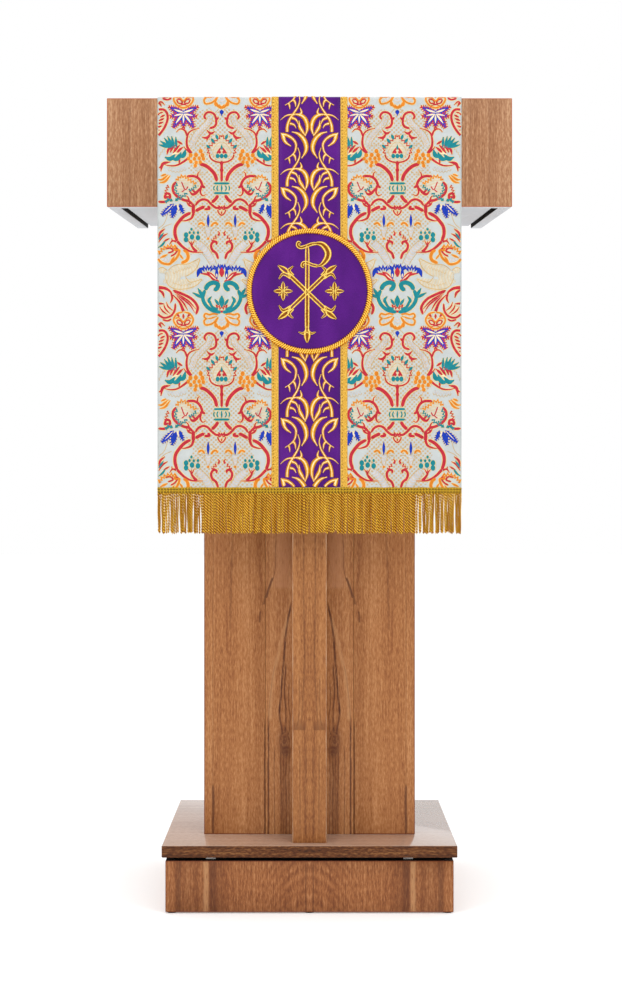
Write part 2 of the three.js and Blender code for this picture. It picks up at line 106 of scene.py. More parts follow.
class Shader:
    """A material with a Principled surface, and short calls that add nodes to it."""

    def __init__(self, name, **settings):
        self.material = bpy.data.materials.new(name)
        self.material.use_nodes = True
        self.tree = self.material.node_tree
        self.surface = self.tree.nodes["Principled BSDF"]
        self.surface.inputs["Specular IOR Level"].default_value = 0.2
        for socket, value in settings.items():
            self.surface.inputs[socket.replace("_", " ")].default_value = value

    def put(self, socket, value):
        if isinstance(value, Signal):
            self.tree.links.new(value.socket, socket)
        else:
            if socket.type == "RGBA" and len(value) == 3:
                value = (*value, 1)
            socket.default_value = value

    def add(self, kind, values=(), output=0, **settings):
        """A new node's output. values go to its inputs in order, or as a dict by name or place."""
        node = self.tree.nodes.new("ShaderNode" + kind)
        for name, value in settings.items():
            setattr(node, name, value)
        for key, value in values.items() if isinstance(values, dict) else enumerate(values):
            self.put(node.inputs[key], value)
        return Signal(self, node.outputs[output])

    def math(self, operation, *values):
        return self.add("Math", values, operation=operation)

    def wave(self, value, pitch=1.0, kind="SINE"):
        """A wave from -1 to 1 that repeats when value has grown by pitch."""
        return self.math(kind, value * (2 * math.pi / pitch))

    def split(self, vector):
        first = self.add("SeparateXYZ", (vector,))
        return [Signal(self, socket) for socket in first.socket.node.outputs]

    def join(self, x, y, z):
        return self.add("CombineXYZ", (x, y, z))

    def place(self):
        """The point on the object, in the pulpit's own frame."""
        return self.add("TexCoord", output="Object")

    def uv(self):
        return self.add("UVMap", uv_map="cloth")

    def scaled(self, vector, x, y, z):
        return self.add("VectorMath", (vector, (x, y, z)), operation="MULTIPLY")

    def moved(self, vector, by):
        return self.add("VectorMath", (vector, by), operation="ADD")

    def noise(self, vector, scale=1.0, detail=2.0, roughness=0.5):
        values = {"Vector": vector, "Scale": scale, "Detail": detail, "Roughness": roughness}
        return self.add("TexNoise", values)

    def between(self, value, low, high):
        """0 below low, 1 above high, smooth in between. low may be above high."""
        return self.add("MapRange", (value, low, high, 0.0, 1.0), interpolation_type="SMOOTHSTEP")

    def ramp(self, value, *stops):
        """Colours at places from 0 to 1: (place, colour)."""
        result = self.add("ValToRGB", (value,))
        elements = result.socket.node.color_ramp.elements
        while len(elements) < len(stops):
            elements.new(0.5)
        for element, (place, colour) in zip(elements, stops):
            element.position = place
            element.color = (*colour, 1)
        return result

    def mix(self, share, a, b):
        return self.add("Mix", {MIX_FACTOR: share, MIX_A: a, MIX_B: b}, MIX_RESULT, data_type="RGBA")

    def curve(self, value, points):
        """A smooth line through (value, result) points, both from 0 to 1."""
        result = self.add("FloatCurve", {"Value": value})
        mapping = result.socket.node.mapping
        line = mapping.curves[0]
        for point, place in zip(line.points, (points[0], points[-1])):
            point.location = place
        for place in points[1:-1]:
            line.points.new(*place)
        mapping.update()
        return result

    def bump(self, height, distance):
        normal = self.add("Bump", {"Strength": 1.0, "Distance": distance, "Height": height})
        self.put(self.surface.inputs["Normal"], normal)

    def colour(self, value):
        self.put(self.surface.inputs["Base Color"], value)

    def roughness(self, value):
        self.put(self.surface.inputs["Roughness"], value)


# ------------------------------------------------------------------ wood
DARK_GRAIN = linear(84, 44, 26)
PALE_GRAIN = linear(206, 156, 108)
RIM_BROWN = linear(118, 58, 32)


def wood(
    name, tones, grain="z", offset=0.0, front=None, edge=None, rim=RIM_BROWN, knots=(), streaks="",
    arches=0.0, seam=None, gloss=0.5, mirror=True,
):
    """Veneer with its grain along one axis, the same on both sides of the middle unless mirror is False.

    front is the box of a board whose front face has figure in known places, and edge is the same for a board
    that also has a thin band of another colour, rim, round that face. knots, streaks, arches and seam are the
    figure, and a streak may also be a painted highlight."""
    dark, mid, light = tones
    shader = Shader(name, Roughness=gloss)
    x, y, z = shader.split(shader.place())
    across = abs(x)
    point = shader.join((across if mirror else x) + offset, y, z)

    def along(fine, slow):
        scales = (fine, fine, slow) if grain == "z" else (slow, fine, fine)
        return shader.scaled(point, *scales)

    shown = shader.math("LESS_THAN", y, (front or edge)[0].y + EASED) if front or edge else 0.0
    waver = shader.noise(along(9, 1.3), detail=2)
    point = shader.moved(point, shader.scaled(waver, 0.012, 0.012, 0))
    tints = []
    for knot in knots:
        push, rings = knot_figure(shader, across, z, *knot)
        point = shader.moved(point, shader.join(push, 0.0, 0.0))
        tints += rings
    tints += [streak_figure(shader, across, z, *streak) for streak in read_streaks(streaks)]
    broad = shader.noise(along(16, 0.7), detail=3, roughness=0.55)
    bands = shader.noise(along(90, 2.0), detail=4, roughness=0.65)
    fine = shader.noise(along(420, 12), detail=3, roughness=0.6)
    flecks = shader.noise(along(620, 130), detail=2, roughness=0.6)
    tone = broad * 0.2 + bands * 0.24 + fine * 0.2 + flecks * 0.36
    if arches:
        # Nested arches of a board cut near the middle of its log.
        rings = shader.wave(across * across * 16.0 + z + waver * 0.03, ARCH_PITCH)
        tone = rings * shown * shader.between(across, 0.12, 0.05) * arches + tone
    colour = shader.ramp(tone, (0.39, dark), (0.5, mid), (0.61, light))
    pores = shader.between(shader.noise(along(1200, 150), detail=2, roughness=0.7), 0.58, 0.7)
    colour = shader.mix(pores * 0.5, colour, dark)
    for share, tint in tints:
        colour = shader.mix(share * shown, colour, tint)
    if seam:
        # The dark foot of a figure that ends at a level seam.
        over = shader.between(z, seam - 0.0005, seam + 0.001) * shader.between(z, seam + 0.022, seam)
        beside = shader.between(across, 0.003, 0.008) * shader.between(across, 0.0255, 0.022)
        smudge = over * beside * shader.between(flecks, 0.2, 0.6) * shown
        colour = shader.mix(smudge * 0.6, colour, DARK_GRAIN)
    if edge:
        colour = shader.mix(edge_band(shader, edge, x, z) * shown, colour, rim)
    shader.colour(colour)
    shader.roughness(shader.between(fine, 0.2, 0.8) * 0.16 + (gloss - 0.08))
    shader.bump(fine * 0.5 - pores, 0.00012)
    return shader.material


EDGE_BAND = 1.2 * MM
EASED = 1.5 * MM  # how deep a board's front face reaches at its eased edges
ARCH_PITCH = 17 * MM


def edge_band(shader, box, x, z):
    """1 within a band's thickness of a board's rim, seen from the front."""
    low, high = box
    sides = shader.math("GREATER_THAN", abs(x), high.x - EDGE_BAND)
    top = shader.math("GREATER_THAN", z, high.z - EDGE_BAND)
    foot = shader.math("LESS_THAN", z, low.z + EDGE_BAND)
    return shader.math("MAXIMUM", sides, shader.math("MAXIMUM", top, foot)) * 0.85


def knot_figure(shader, across, z, kx, kz, wide, tall, depth):
    """A knot: how far it pushes the grain aside, and its dark rings."""
    ex = (across - kx) / wide
    ez = (z - kz) / tall
    reach = shader.math("SQRT", ex * ex + ez * ez)
    push = ex / (reach**2 + 1.5) * (-0.010 * depth)
    wobble = shader.noise(shader.scaled(shader.join(across, 0.0, z), 260, 1, 120), detail=2)
    rings = shader.between(shader.math("SINE", reach * 7 + wobble * 13), -0.3, 0.8)
    rings = rings * shader.between(reach, 1.5, 0.7)
    shade = shader.between(reach, 2.4, 0.3)
    return push, [(rings * (0.65 * depth), DARK_GRAIN), (shade * (0.55 * depth), linear(98, 54, 30))]


STREAK_REACH = 0.4  # the x that stands for 1 on a streak's curve
# The last tint is a painted highlight along rounded edges, not a tint of the wood.
TINTS = {"dark": DARK_GRAIN, "pale": PALE_GRAIN, "tan": linear(182, 128, 88), "worn": linear(232, 200, 168)}


def read_streaks(text):
    """Streaks in the notation of the tables below, as (line, half width, strength, tint) in metres."""
    for row in text.split("\n")[1:-1]:
        tint, wide, depth, *places = row.split()
        line = [tuple(float(v) * MM for v in place.split(",")) for place in places]
        yield line, float(wide) * MM, float(depth), TINTS[tint]


def streak_figure(shader, across, z, line, wide, depth, tint):
    """A streak of grain along a line of (z, x) points, from its top down: how strong it is, and its tint.
    With the last of the tints it is a painted highlight instead of grain.
    """
    (top, _), (foot, _) = line[0], line[-1]
    t = (z - foot) / (top - foot)
    course = shader.curve(t, [((pz - foot) / (top - foot), px / STREAK_REACH) for pz, px in reversed(line)])
    flat = shader.join(across, 0.0, z)
    waver = shader.noise(shader.scaled(flat, 40, 1, 22), detail=2)
    gap = (waver - 0.5) * 0.0022 + (across - course * STREAK_REACH)
    near = shader.between(abs(gap), wide * 1.5, wide * 0.4)
    ends = shader.between(t, -0.02, 0.03) * shader.between(t, 1.02, 0.9)
    broken = shader.between(shader.noise(shader.scaled(flat, 700, 1, 60), detail=2), 0.25, 0.5)
    return near * ends * broken * depth, tint


def plain_finish(name, colour, rough, metallic=0.0):
    """A plain moulded, painted or plated surface with a slight mottle."""
    shader = Shader(name, Metallic=metallic)
    mottle = shader.noise(shader.place(), scale=900, detail=3)
    darker = tuple(c * 0.88 for c in colour)
    shader.colour(shader.mix(shader.between(mottle, 0.3, 0.7), darker, colour))
    shader.roughness(mottle * 0.2 + (rough - 0.1))
    shader.bump(mottle, 0.00005)
    return shader.material


def laminate():
    """The light grey underside, with faint streaks across it."""
    shader = Shader("grey_laminate")
    streaks = shader.noise(shader.scaled(shader.place(), 6, 240, 240), detail=3)
    shader.colour(shader.ramp(streaks, (0.3, linear(186, 190, 195)), (0.7, linear(200, 204, 209))))
    shader.roughness(streaks * 0.2 + 0.35)
    shader.bump(streaks, 0.00005)
    return shader.material


BEVEL_ANGLE = math.radians(35)


def dress(names, material, round_edge, others=()):
    """A CAD node keeps its shape: it gets its material, and its sharp edges are eased.

    others gives some of its faces another material: (a test of the face's normal, the material)."""
    for name in names:
        piece = nodes[name]
        piece.data.materials.clear()
        for finish in (material, *(other for _, other in others)):
            piece.data.materials.append(finish)
        for polygon in piece.data.polygons:
            polygon.use_smooth = True
            for index, (test, _) in enumerate(others, 1):
                if test(polygon.normal):
                    polygon.material_index = index
        weld = piece.modifiers.new("weld", "WELD")
        weld.merge_threshold = 1e-5
        bevel = piece.modifiers.new("eased_edges", "BEVEL")
        bevel.width = round_edge
        bevel.segments = 2
        bevel.limit_method = "ANGLE"
        bevel.angle_limit = BEVEL_ANGLE
        bevel.harden_normals = True


def faces_up(normal):
    return normal.z > 0.5


def faces_down(normal):
    return normal.z < -0.5


# Figure in the wood. A row gives a streak's tint, half width, strength and course: z,x from its top down, in
# millimetres. Knots are (x, z, half width, half height, strength), in metres.
HEAD_STREAKS = """
dark 1.2 .22 1220,231.5 1130,231 1050,231.2
dark 1 .18 1220,238.5 1130,239.2 1050,239
dark 1.3 .22 1220,265.5 1150,266.2 1050,266
"""
OUTER_STREAKS = """
dark 2 .8 182,150 140,149.8 95,150.2
dark 1.2 .25 620,149.2 400,150 170,150
dark 1 .85 284,69.6 200,69.7 95,69.5
dark 1.6 .6 474,69 460,71.2
dark 1.3 .6 450,76.2 432,77.5
dark 1.6 .3 600,118 500,121.5 420,123.5
"""
INNER_STREAKS = """
dark 1.4 .9 284,63.8 200,64 95,63.9
dark .7 .65 245,54.5 180,54.8 95,54.2
dark .9 .6 370,52.5 330,59.5 275,64
dark 1.6 .95 466,27.2 430,34.4 364,40.8 321,44 290,47
dark 1.4 .75 370,36.2 320,38.5 290,36.5 262,38.5
dark .9 .6 340,31 310,32.5 280,30 258,33
dark 1.5 .75 310,45.5 290,46.8 272,44 258,42.5
tan 13 .7 620,40 550,40 485,42
pale 3 .35 440,33.5 390,47 330,58.5 280,61
dark .7 .55 600,51.5 550,52.5 512,54 496,58
dark 2 .8 503,56.5 486,63 470,68
dark 8.5 .3 240,37 170,37.2 95,37
dark .9 .6 242,44 200,44.8 150,44 95,44.6
dark .7 .5 238,40.8 190,40.2 140,41 95,40.4
dark .9 .6 238,34.5 200,36.8 150,36 95,36.6
dark .8 .5 236,31 180,31.8 95,31.2
"""
INNER_KNOTS = ((0.0384, 0.249, 0.0070, 0.013, 1.0), (0.0365, 0.232, 0.0060, 0.006, 0.8))
# The first row is a painted highlight: a pale line down each rounded front edge of the pilaster.
PILASTER_STREAKS = """
worn .5 .95 1080,25.7 95,25.7
dark 1.3 .4 620,9.2 450,8.8 360,8.2 280,12.5
dark 1.3 .4 360,16.5 310,15 280,18.5
dark 1.2 .35 255,5.5 180,6.2 95,5.8
dark 1.2 .35 255,15 180,14.2 95,15
"""
PLINTH_STREAKS = """
dark 5 .6 85,145.5 40,146.2 0,145.5
dark 10 .25 85,140 0,139.5
dark 4 .45 85,198 0,198.5
dark 18 .22 85,180 0,180
pale 4 .5 85,156.2 0,156
dark .9 .6 85,5 40,5.6 0,5
dark 2 .35 85,194 40,196.5 0,195
"""
SEAM = 0.274


def dress_woodwork():
    head = (linear(130, 84, 52), linear(160, 114, 80), linear(192, 150, 114))
    column = (linear(134, 80, 44), linear(165, 109, 64), linear(190, 136, 90))
    post = (linear(126, 74, 40), linear(158, 103, 58), linear(182, 126, 78))
    plinth = (linear(112, 62, 34), linear(147, 91, 52), linear(180, 124, 80))
    band = (linear(38, 16, 4), linear(90, 48, 20), linear(148, 100, 56))
    top_tones_with_reflection = (linear(154, 122, 102), linear(180, 146, 124), linear(196, 166, 146))
    sides = ("left", "right")
    # Black paint on the risers; the same black on other faces is painted shade.
    paint_and_shade_black = plain_finish("black_paint", linear(16, 13, 12), 0.85)
    grey = laminate()

    edge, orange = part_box("head_front_board"), linear(166, 84, 40)
    front = wood("head_front_veneer", head, offset=0.31, edge=edge, rim=orange, streaks=HEAD_STREAKS)
    dress(["head_front_board"], front, 0.0008, [(faces_down, grey)])
    side = wood("head_side_veneer", head, offset=1.7, mirror=False)
    dress(["head_back_rail"], side, 0.0008)
    for name, inward in zip(sides, (1, -1)):
        # Each side board's inner face beside the bottom board is painted black: painted shade in that groove.
        shaded_inner_face = (lambda normal, way=inward: normal.x * way > 0.5, paint_and_shade_black)
        dress([f"head_{name}_board"], side, 0.0008, [(faces_down, grey), shaded_inner_face])
    board = wood("book_board_veneer", head, grain="x", offset=2.3, gloss=0.4)
    dress(["book_board", "book_stop"], board, 0.0012)
    dress(["head_bottom_board"], grey, 0.0008)

    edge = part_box("column_front_right")
    outer = wood("column_outer_veneer", column, offset=0.85, edge=edge, streaks=OUTER_STREAKS)
    dress(["column_front_left", "column_front_right"], outer, 0.0006)
    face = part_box("column_front_centre")
    inner = wood("column_inner_veneer", column, "z", 3.1, face, knots=INNER_KNOTS, streaks=INNER_STREAKS)
    dress(["column_front_centre"], inner, 0.0006)
    walls = wood("column_side_veneer", column, offset=4.4, mirror=False)
    dress([f"column_{s}_board" for s in sides] + ["column_back_board"], walls, 0.0006)
    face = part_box("pilaster")
    post = wood("pilaster_veneer", post, "z", 5.2, face, streaks=PILASTER_STREAKS, seam=SEAM, gloss=0.42)
    dress(["pilaster"], post, 0.0006)

    lipping = wood("plinth_lipping", band, grain="x", offset=6.1)
    # The top face's pale greyish tones are partly its veneer and partly a painted reflection of the white
    # surroundings.
    top = wood("plinth_top_veneer", top_tones_with_reflection, "x", 6.6)
    lacquer = top.node_tree.nodes["Principled BSDF"].inputs
    for socket, value in (("Coat Weight", 1.0), ("Coat Roughness", 0.12), ("Coat IOR", 1.8)):
        lacquer[socket].default_value = value
    dress(["plinth_top_board"], lipping, 0.0014, [(faces_up, top)])
    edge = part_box("plinth_front_board")
    box = wood("plinth_box_veneer", plinth, offset=7.4, edge=edge, streaks=PLINTH_STREAKS, arches=0.02)
    # The box boards' top faces, seen through the gap under the top board, are painted black: painted shade.
    dress([f"plinth_{side}_board" for side in ("front", "back", *sides)], box, 0.0008, [(faces_up, paint_and_shade_black)])

    pine = (linear(176, 138, 92), linear(206, 170, 120), linear(222, 190, 142))
    softwood = wood("softwood", pine, gloss=0.7)
    hidden = [n for n in nodes if n.startswith(("corner_block", "foot_batten", "head_batten", "book_cleat"))]
    dress(hidden + ["column_stiffener", "head_front_batten"], softwood, 0.0008)

    dress([n for n in nodes if n.startswith("riser")], paint_and_shade_black, 0.0005)
    nylon = plain_finish("white_nylon", linear(236, 236, 232), 0.5)
    dress([n for n in nodes if n.startswith("shim")], nylon, 0.0005)
    brown = plain_finish("brown_nylon", linear(52, 36, 26), 0.6)
    dress([n for n in nodes if n.startswith("glide")], brown, 0.0003)
    zinc = plain_finish("zinc_plate", linear(170, 168, 160), 0.35, metallic=1.0)
    dress([n for n in nodes if "screw" in n], zinc, 0.0002)


# ------------------------------------------------------------------ how the cover lies
STAND_OFF = 0.9 * MM  # from the wood to the cloth's underside
BEND_RADIUS = 2.5 * MM
SLOPE_RADIUS = 8 * MM
BRIDGE_RADIUS = 16 * MM
BRIDGE_REACH = 40 * MM  # where the cloth leaves the board to rise over the stop
HANG = 80 * MM  # how far the line runs on below both hems, for the fringe


def lengths(line):
    """How far along a line each of its points lies."""
    return np.concatenate([[0], np.cumsum(np.linalg.norm(np.diff(line, axis=0), axis=1))])


def headings(line):
    """Unit vectors along a line and to its right, at each of its points."""
    along = np.gradient(line, axis=0)
    along /= np.maximum(np.linalg.norm(along, axis=1), 1e-12)[:, None]
    return along, np.stack([along[:, 1], -along[:, 0]], axis=1)


def rounded(corners, radii):
    """A line through corners, each turned with its own radius."""
    line = [corners[0]]
    for before, corner, after, radius in zip(corners, corners[1:], corners[2:], radii):
        into = (corner - before) / np.linalg.norm(corner - before)
        out = (after - corner) / np.linalg.norm(after - corner)
        turn = math.atan2(into[0] * out[1] - into[1] * out[0], into @ out)
        normal = np.array([-into[1], into[0]]) * math.copysign(1, turn)
        centre = corner - into * radius * math.tan(abs(turn) / 2) + normal * radius
        for t in np.linspace(0, turn, max(4, math.ceil(abs(turn) / 0.14))):
            spoke = -normal * radius
            cos, sin = math.cos(t), math.sin(t)
            line.append(centre + np.array([spoke[0] * cos - spoke[1] * sin, spoke[0] * sin + spoke[1] * cos]))
    return np.array([*line, corners[-1]])


class Drape:
    """The cloth's underside: x across, s along it from the front hem, and lift outwards from it."""

    def __init__(self):
        front_low, front_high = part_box("head_front_board")
        stop_low, stop_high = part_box("book_stop")
        book_low, book_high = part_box("book_board")
        hem_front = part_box("cover_cloth")[0].z
        hem_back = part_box("fringe_header_back")[0].z + MM
        gap = STAND_OFF
        front, back = front_low.y - gap, stop_high.y + gap
        top, stop_top = front_high.z + gap, stop_high.z + gap
        # The book board's top falls evenly to the back, and the stop stands on it.
        fall = (book_high.z - stop_low.z) / (stop_high.y - book_low.y)
        bridge = stop_low.y - BRIDGE_REACH
        bridge_top = book_high.z - fall * (bridge - book_low.y) + gap
        corners = [
            (front, hem_front - HANG),
            (front, top),
            (front_high.y, top),
            (bridge, bridge_top),
            (stop_low.y - 2 * MM, stop_top),
            (back, stop_top),
            (back, hem_back - HANG),
        ]
        radii = (BEND_RADIUS, SLOPE_RADIUS, BRIDGE_RADIUS, BEND_RADIUS, BEND_RADIUS)
        line = rounded([np.array(c) for c in corners], radii)
        length = lengths(line) - HANG
        along = np.gradient(line, length, axis=0)
        along /= np.linalg.norm(along, axis=1)[:, None]
        self.line, self.length = line, length
        self.outward = np.stack([-along[:, 1], along[:, 0]], axis=1)
        self.end = length[-1] - HANG
        self.front_height = front_low.z - hem_front  # how far the front hem hangs below the head
        self.hem = hem_front

    def wave(self, x, s):
        """The cloth's soft folds: widest at the free hems, and almost none where it lies on the wood."""
        free = smooth_step(s, self.front_height + 0.04, 0.10) + smooth_step(s, self.end - 0.12, self.end)
        flutes = (
            1.5 * np.sin(2 * math.pi * (x / 0.173 + 0.9 * s) + 0.7)
            + 0.9 * np.sin(2 * math.pi * (x / 0.098 - 1.1 * s) + 2.1)
            + 0.5 * np.sin(2 * math.pi * (x / 0.061 + 2.0 * s) - 1.0)
        )
        creases = 0.35 * np.sin(2 * math.pi * (s / 0.21 + x / 0.31))
        creases += 0.2 * np.sin(2 * math.pi * (s / 0.083 - x / 0.12))
        resting = 0.18 * (1 + np.sin(2 * math.pi * (x / 0.13 + s / 0.4)))
        return MM * (free * (flutes + creases) + (1 - free) * resting)

    def at(self, x, s, lift):
        x, s, lift = np.broadcast_arrays(x, s, lift)
        y, z, out_y, out_z = (np.interp(s, self.length, part) for part in (*self.line.T, *self.outward.T))
        size = np.hypot(out_y, out_z)
        away = (lift + self.wave(x, s)) / size
        return np.stack([x, y + out_y * away, z + out_z * away], axis=-1)

    def stations(self, start, stop, step):
        """Places along the cloth, close together at its bends."""
        regular = np.linspace(start, stop, max(2, math.ceil((stop - start) / step) + 1))
        near = 0.3 * MM
        bends = self.length[(self.length > start + near) & (self.length < stop - near)]
        clear = [s in (start, stop) or not np.any(np.abs(bends - s) < near) for s in regular]
        return np.unique(np.concatenate([regular[clear], bends]))


def smooth_step(value, low, high):
    t = np.clip((value - low) / (high - low), 0, 1)
    return t * t * (3 - 2 * t)


drape = Drape()


# ------------------------------------------------------------------ meshes
def new_piece(name, points, faces, uv, material):
    """A smooth mesh object from arrays, with one UV place per point."""
    mesh = bpy.data.meshes.new(name)
    mesh.from_pydata(points.reshape(-1, 3).tolist(), [], faces)
    mesh.polygons.foreach_set("use_smooth", np.ones(len(mesh.polygons), bool))
    layer = mesh.uv_layers.new(name="cloth")
    corner = np.zeros(len(mesh.loops), np.int32)
    mesh.loops.foreach_get("vertex_index", corner)
    layer.data.foreach_set("uv", np.asarray(uv, np.float32).reshape(-1, 2)[corner].ravel())
    mesh.materials.append(material)
    mesh.update()
    piece = bpy.data.objects.new(name, mesh)
    bpy.context.scene.collection.objects.link(piece)
    return piece


def grid_faces(rows, columns, start=0, flip=False, around=False):
    """Quads of a grid of points stored row by row. around joins the last column to the first."""
    i, j = np.meshgrid(np.arange(rows - 1), np.arange(columns if around else columns - 1), indexing="ij")
    a = i * columns + j
    b = i * columns + (j + 1) % columns
    quads = np.stack([a, b, b + columns, a + columns], axis=-1).reshape(-1, 4) + start
    return (quads[:, ::-1] if flip else quads).tolist()


def slab(name, xs, ss, low, high, material):
    """A closed strip of cloth between two lifts, which may be arrays with a row for each s."""
    return strip(name, *np.meshgrid(xs, ss), low, high, material)


def strip(name, x, s, low, high, material):
    """A closed sheet over a grid of places on the cloth: x grows along a row, and s from row to row."""
    low, high = np.broadcast_to(low, x.shape), np.broadcast_to(high, x.shape)
    points = np.stack([drape.at(x, s, high), drape.at(x, s, low)])
    rows, columns = x.shape
    count = rows * columns
    faces = grid_faces(rows, columns) + grid_faces(rows, columns, count, flip=True)
    index = np.arange(count).reshape(rows, columns)
    rim = np.concatenate([index[0, :-1], index[:-1, -1], index[-1, :0:-1], index[:0:-1, 0]])
    after = np.roll(rim, -1)
    faces += np.stack([after, rim, rim + count, after + count], axis=-1).tolist()
    uv = np.tile(np.stack([x, s], axis=-1).reshape(-1, 2), (2, 1))
    return new_piece(name, points, faces, uv, material)


FULL_HEIGHT_HALF = 0.4 * MM  # strokes with a smaller half width are flatter


class Threads:
    """Gathers strokes of one colour into one piece. Each stroke is a closed ridge that lies on the cloth."""

    FLAT = ((-1, 0), (-0.85, 0.85), (0, 1), (0.85, 0.85), (1, 0))
    RIM = ((-1, 0), (-0.88, 1), (0.88, 1), (1, 0))
    PLATE = ((-1, 0), *((across, 1) for across in (-0.93, -0.7, -0.35, 0, 0.35, 0.7, 0.93)), (1, 0))
    RIDGE = ((-1, 0), (-0.6, 0.8), (0, 1), (0.6, 0.8), (1, 0))
    DOUBLE = (
        (-1, 0), (-0.8, 0.8), (-0.6, 1), (-0.3, 0.75), (0, 0.35), (0.3, 0.75), (0.6, 1), (0.8, 0.8), (1, 0),
    )

    def __init__(self, base, height, section=FLAT):
        self.base, self.height = base, height
        self.across, self.rise = np.array(section, float).T
        self.places, self.uvs, self.faces, self.count = [], [], [], 0

    def add(self, line, half, lift=0.0):
        """line: (x, s) points in metres, half: half widths at them."""
        if len(line) < 2:
            return
        _, side = headings(line)
        spread = self.across[None, :, None] * half[:, None, None]
        plan = line[:, None, :] + side[:, None, :] * spread
        full = np.minimum(1, half / FULL_HEIGHT_HALF)
        rise = self.base + lift + self.height * self.rise[None, :] * full[:, None]
        length = lengths(line)
        rows, columns = rise.shape
        self.places.append(np.concatenate([plan, rise[..., None]], axis=-1).reshape(-1, 3))
        uv = np.stack(np.broadcast_arrays(length[:, None], self.across[None, :]), axis=-1)
        self.uvs.append(uv.reshape(-1, 2))
        self.faces += grid_faces(rows, columns, self.count, around=True)
        first = list(range(self.count, self.count + columns))
        last = [i + (rows - 1) * columns for i in first]
        self.faces += [first[::-1], last]
        self.count += rows * columns

    def piece(self, name, material):
        place = np.concatenate(self.places)
        points = drape.at(place[:, 0], place[:, 1], place[:, 2])
        return new_piece(name, points, self.faces, np.concatenate(self.uvs), material)


# ------------------------------------------------------------------ drawing
def spline(points, step):
    """A smooth line through points, sampled about every step."""
    points = np.array(points, float)
    if len(points) == 2:
        count = max(3, math.ceil(np.linalg.norm(points[1] - points[0]) / step) + 1)
        return points[0] + (points[1] - points[0]) * np.linspace(0, 1, count)[:, None]
    padded = np.vstack([2 * points[0] - points[1], points, 2 * points[-1] - points[-2]])
    line = []
    for p0, p1, p2, p3 in zip(padded, padded[1:], padded[2:], padded[3:]):
        count = max(2, math.ceil(np.linalg.norm(p2 - p1) / step))
        t = np.linspace(0, 1, count, endpoint=False)[:, None]
        square, cube = 2 * p0 - 5 * p1 + 4 * p2 - p3, 3 * p1 - p0 - 3 * p2 + p3
        line.append(0.5 * (2 * p1 + (p2 - p0) * t + square * t**2 + cube * t**3))
    return np.vstack([*line, points[-1]])


BLUNT = 0.3  # how wide the end of a tapered stroke is, as a share of its full width


# Kinds of stroke: t runs from 0 at the start to 1 at the end, and the result is the width there.
def even(t):
    """A stroke of one width with round ends."""
    return np.sqrt(np.clip(1 - (np.abs(2 * t - 1)) ** 14, 0.02, 1))


def leaf(t):
    """Pointed at both ends."""
    return np.clip(np.sin(math.pi * t) ** 0.75, BLUNT, 1)


def tail(t):
    """Full at the start and pointed at the end."""
    return np.clip((1 - t) ** 0.5, BLUNT, 1)


def disc(t):
    return np.sqrt(np.clip(1 - (2 * t - 1) ** 2, 0.01, 1))


def drop(t):
    """Pointed at the start and round at the end."""
    return np.clip(np.sin(math.pi * np.clip(t, 0, 1) ** 1.8) ** 0.7, BLUNT / 2, 1)


class Drawing:
    """Strokes in millimetres on flat cloth: (colour, line, half widths)."""

    def __init__(self, step=2.1):
        self.strokes, self.step = [], step

    def stroke(self, colour, half, shape, *points):
        line = spline(points, self.step)
        length = lengths(line)
        self.strokes.append((colour, line, half * shape(length / length[-1])))

    def dot(self, colour, radius, x, y):
        line = np.array([(x, y + radius * math.cos(a)) for a in np.linspace(math.pi, 0, 7)])
        t = (line[:, 1] - y + radius) / (2 * radius)
        self.strokes.append((colour, line, radius * disc(t)))

    def fan(self, colour, half, shape, x, y, blades):
        """Straight blades from one point: (angle in degrees, length)."""
        for angle, length in blades:
            a = math.radians(angle)
            self.stroke(colour, half, shape, (x, y), (x + length * math.cos(a), y + length * math.sin(a)))


STACKED = 24  # strokes in a stack, before the next one starts again from the cloth
STACK_RISE = 0.0022 * MM


def unbroken(inside):
    """The runs of neighbouring points that are inside, as slices."""
    edges = np.flatnonzero(np.diff(np.concatenate([[0], inside.astype(int), [0]])))
    return [slice(a, b) for a, b in zip(edges[::2], edges[1::2])]


def lay(drawing, threads, x, s, sign=1, edge=None, room=None):
    """Puts a drawing on the cloth at (x, s), in millimetres, mirrored where sign is -1.

    edge names the threads that line each stroke with a paler rim. room is the low and the high corner of the
    field that the drawing may fill."""
    for index, (colour, line, half) in enumerate(drawing.strokes):
        plan = np.stack([x + sign * line[:, 0], s + line[:, 1]], axis=1)
        inside = np.ones(len(plan), bool)
        if room:
            inside = np.all((plan > room[0]) & (plan < room[1]), axis=1)
        # Each stroke lies a hair above the one before it, so that crossings stay clean.
        lift = (index % STACKED) * STACK_RISE
        for run in unbroken(inside):
            threads[colour].add(plan[run] * MM, half[run] * MM, lift)
            if edge and colour not in RIMLESS:
                threads[edge].add(plan[run] * MM, (half[run] + EDGE_THREAD) * MM, lift)


# ------------------------------------------------------------------ the brocade's design
EDGE_THREAD = 0.8
REPEAT = 327.1
REPEATS = 4  # enough to reach from the front hem to the back one
PANEL_AXIS = 130
FIRST_VASE = 117
HEM_MARGIN = 0.8  # how far the figures stop short of the cloth's edges
# The lowest part of the cloth is pulled longer: below its first vase, and up to STRETCHED above it.
STRETCH_BELOW, STRETCH, STRETCHED = 1.04, 1.1, 76

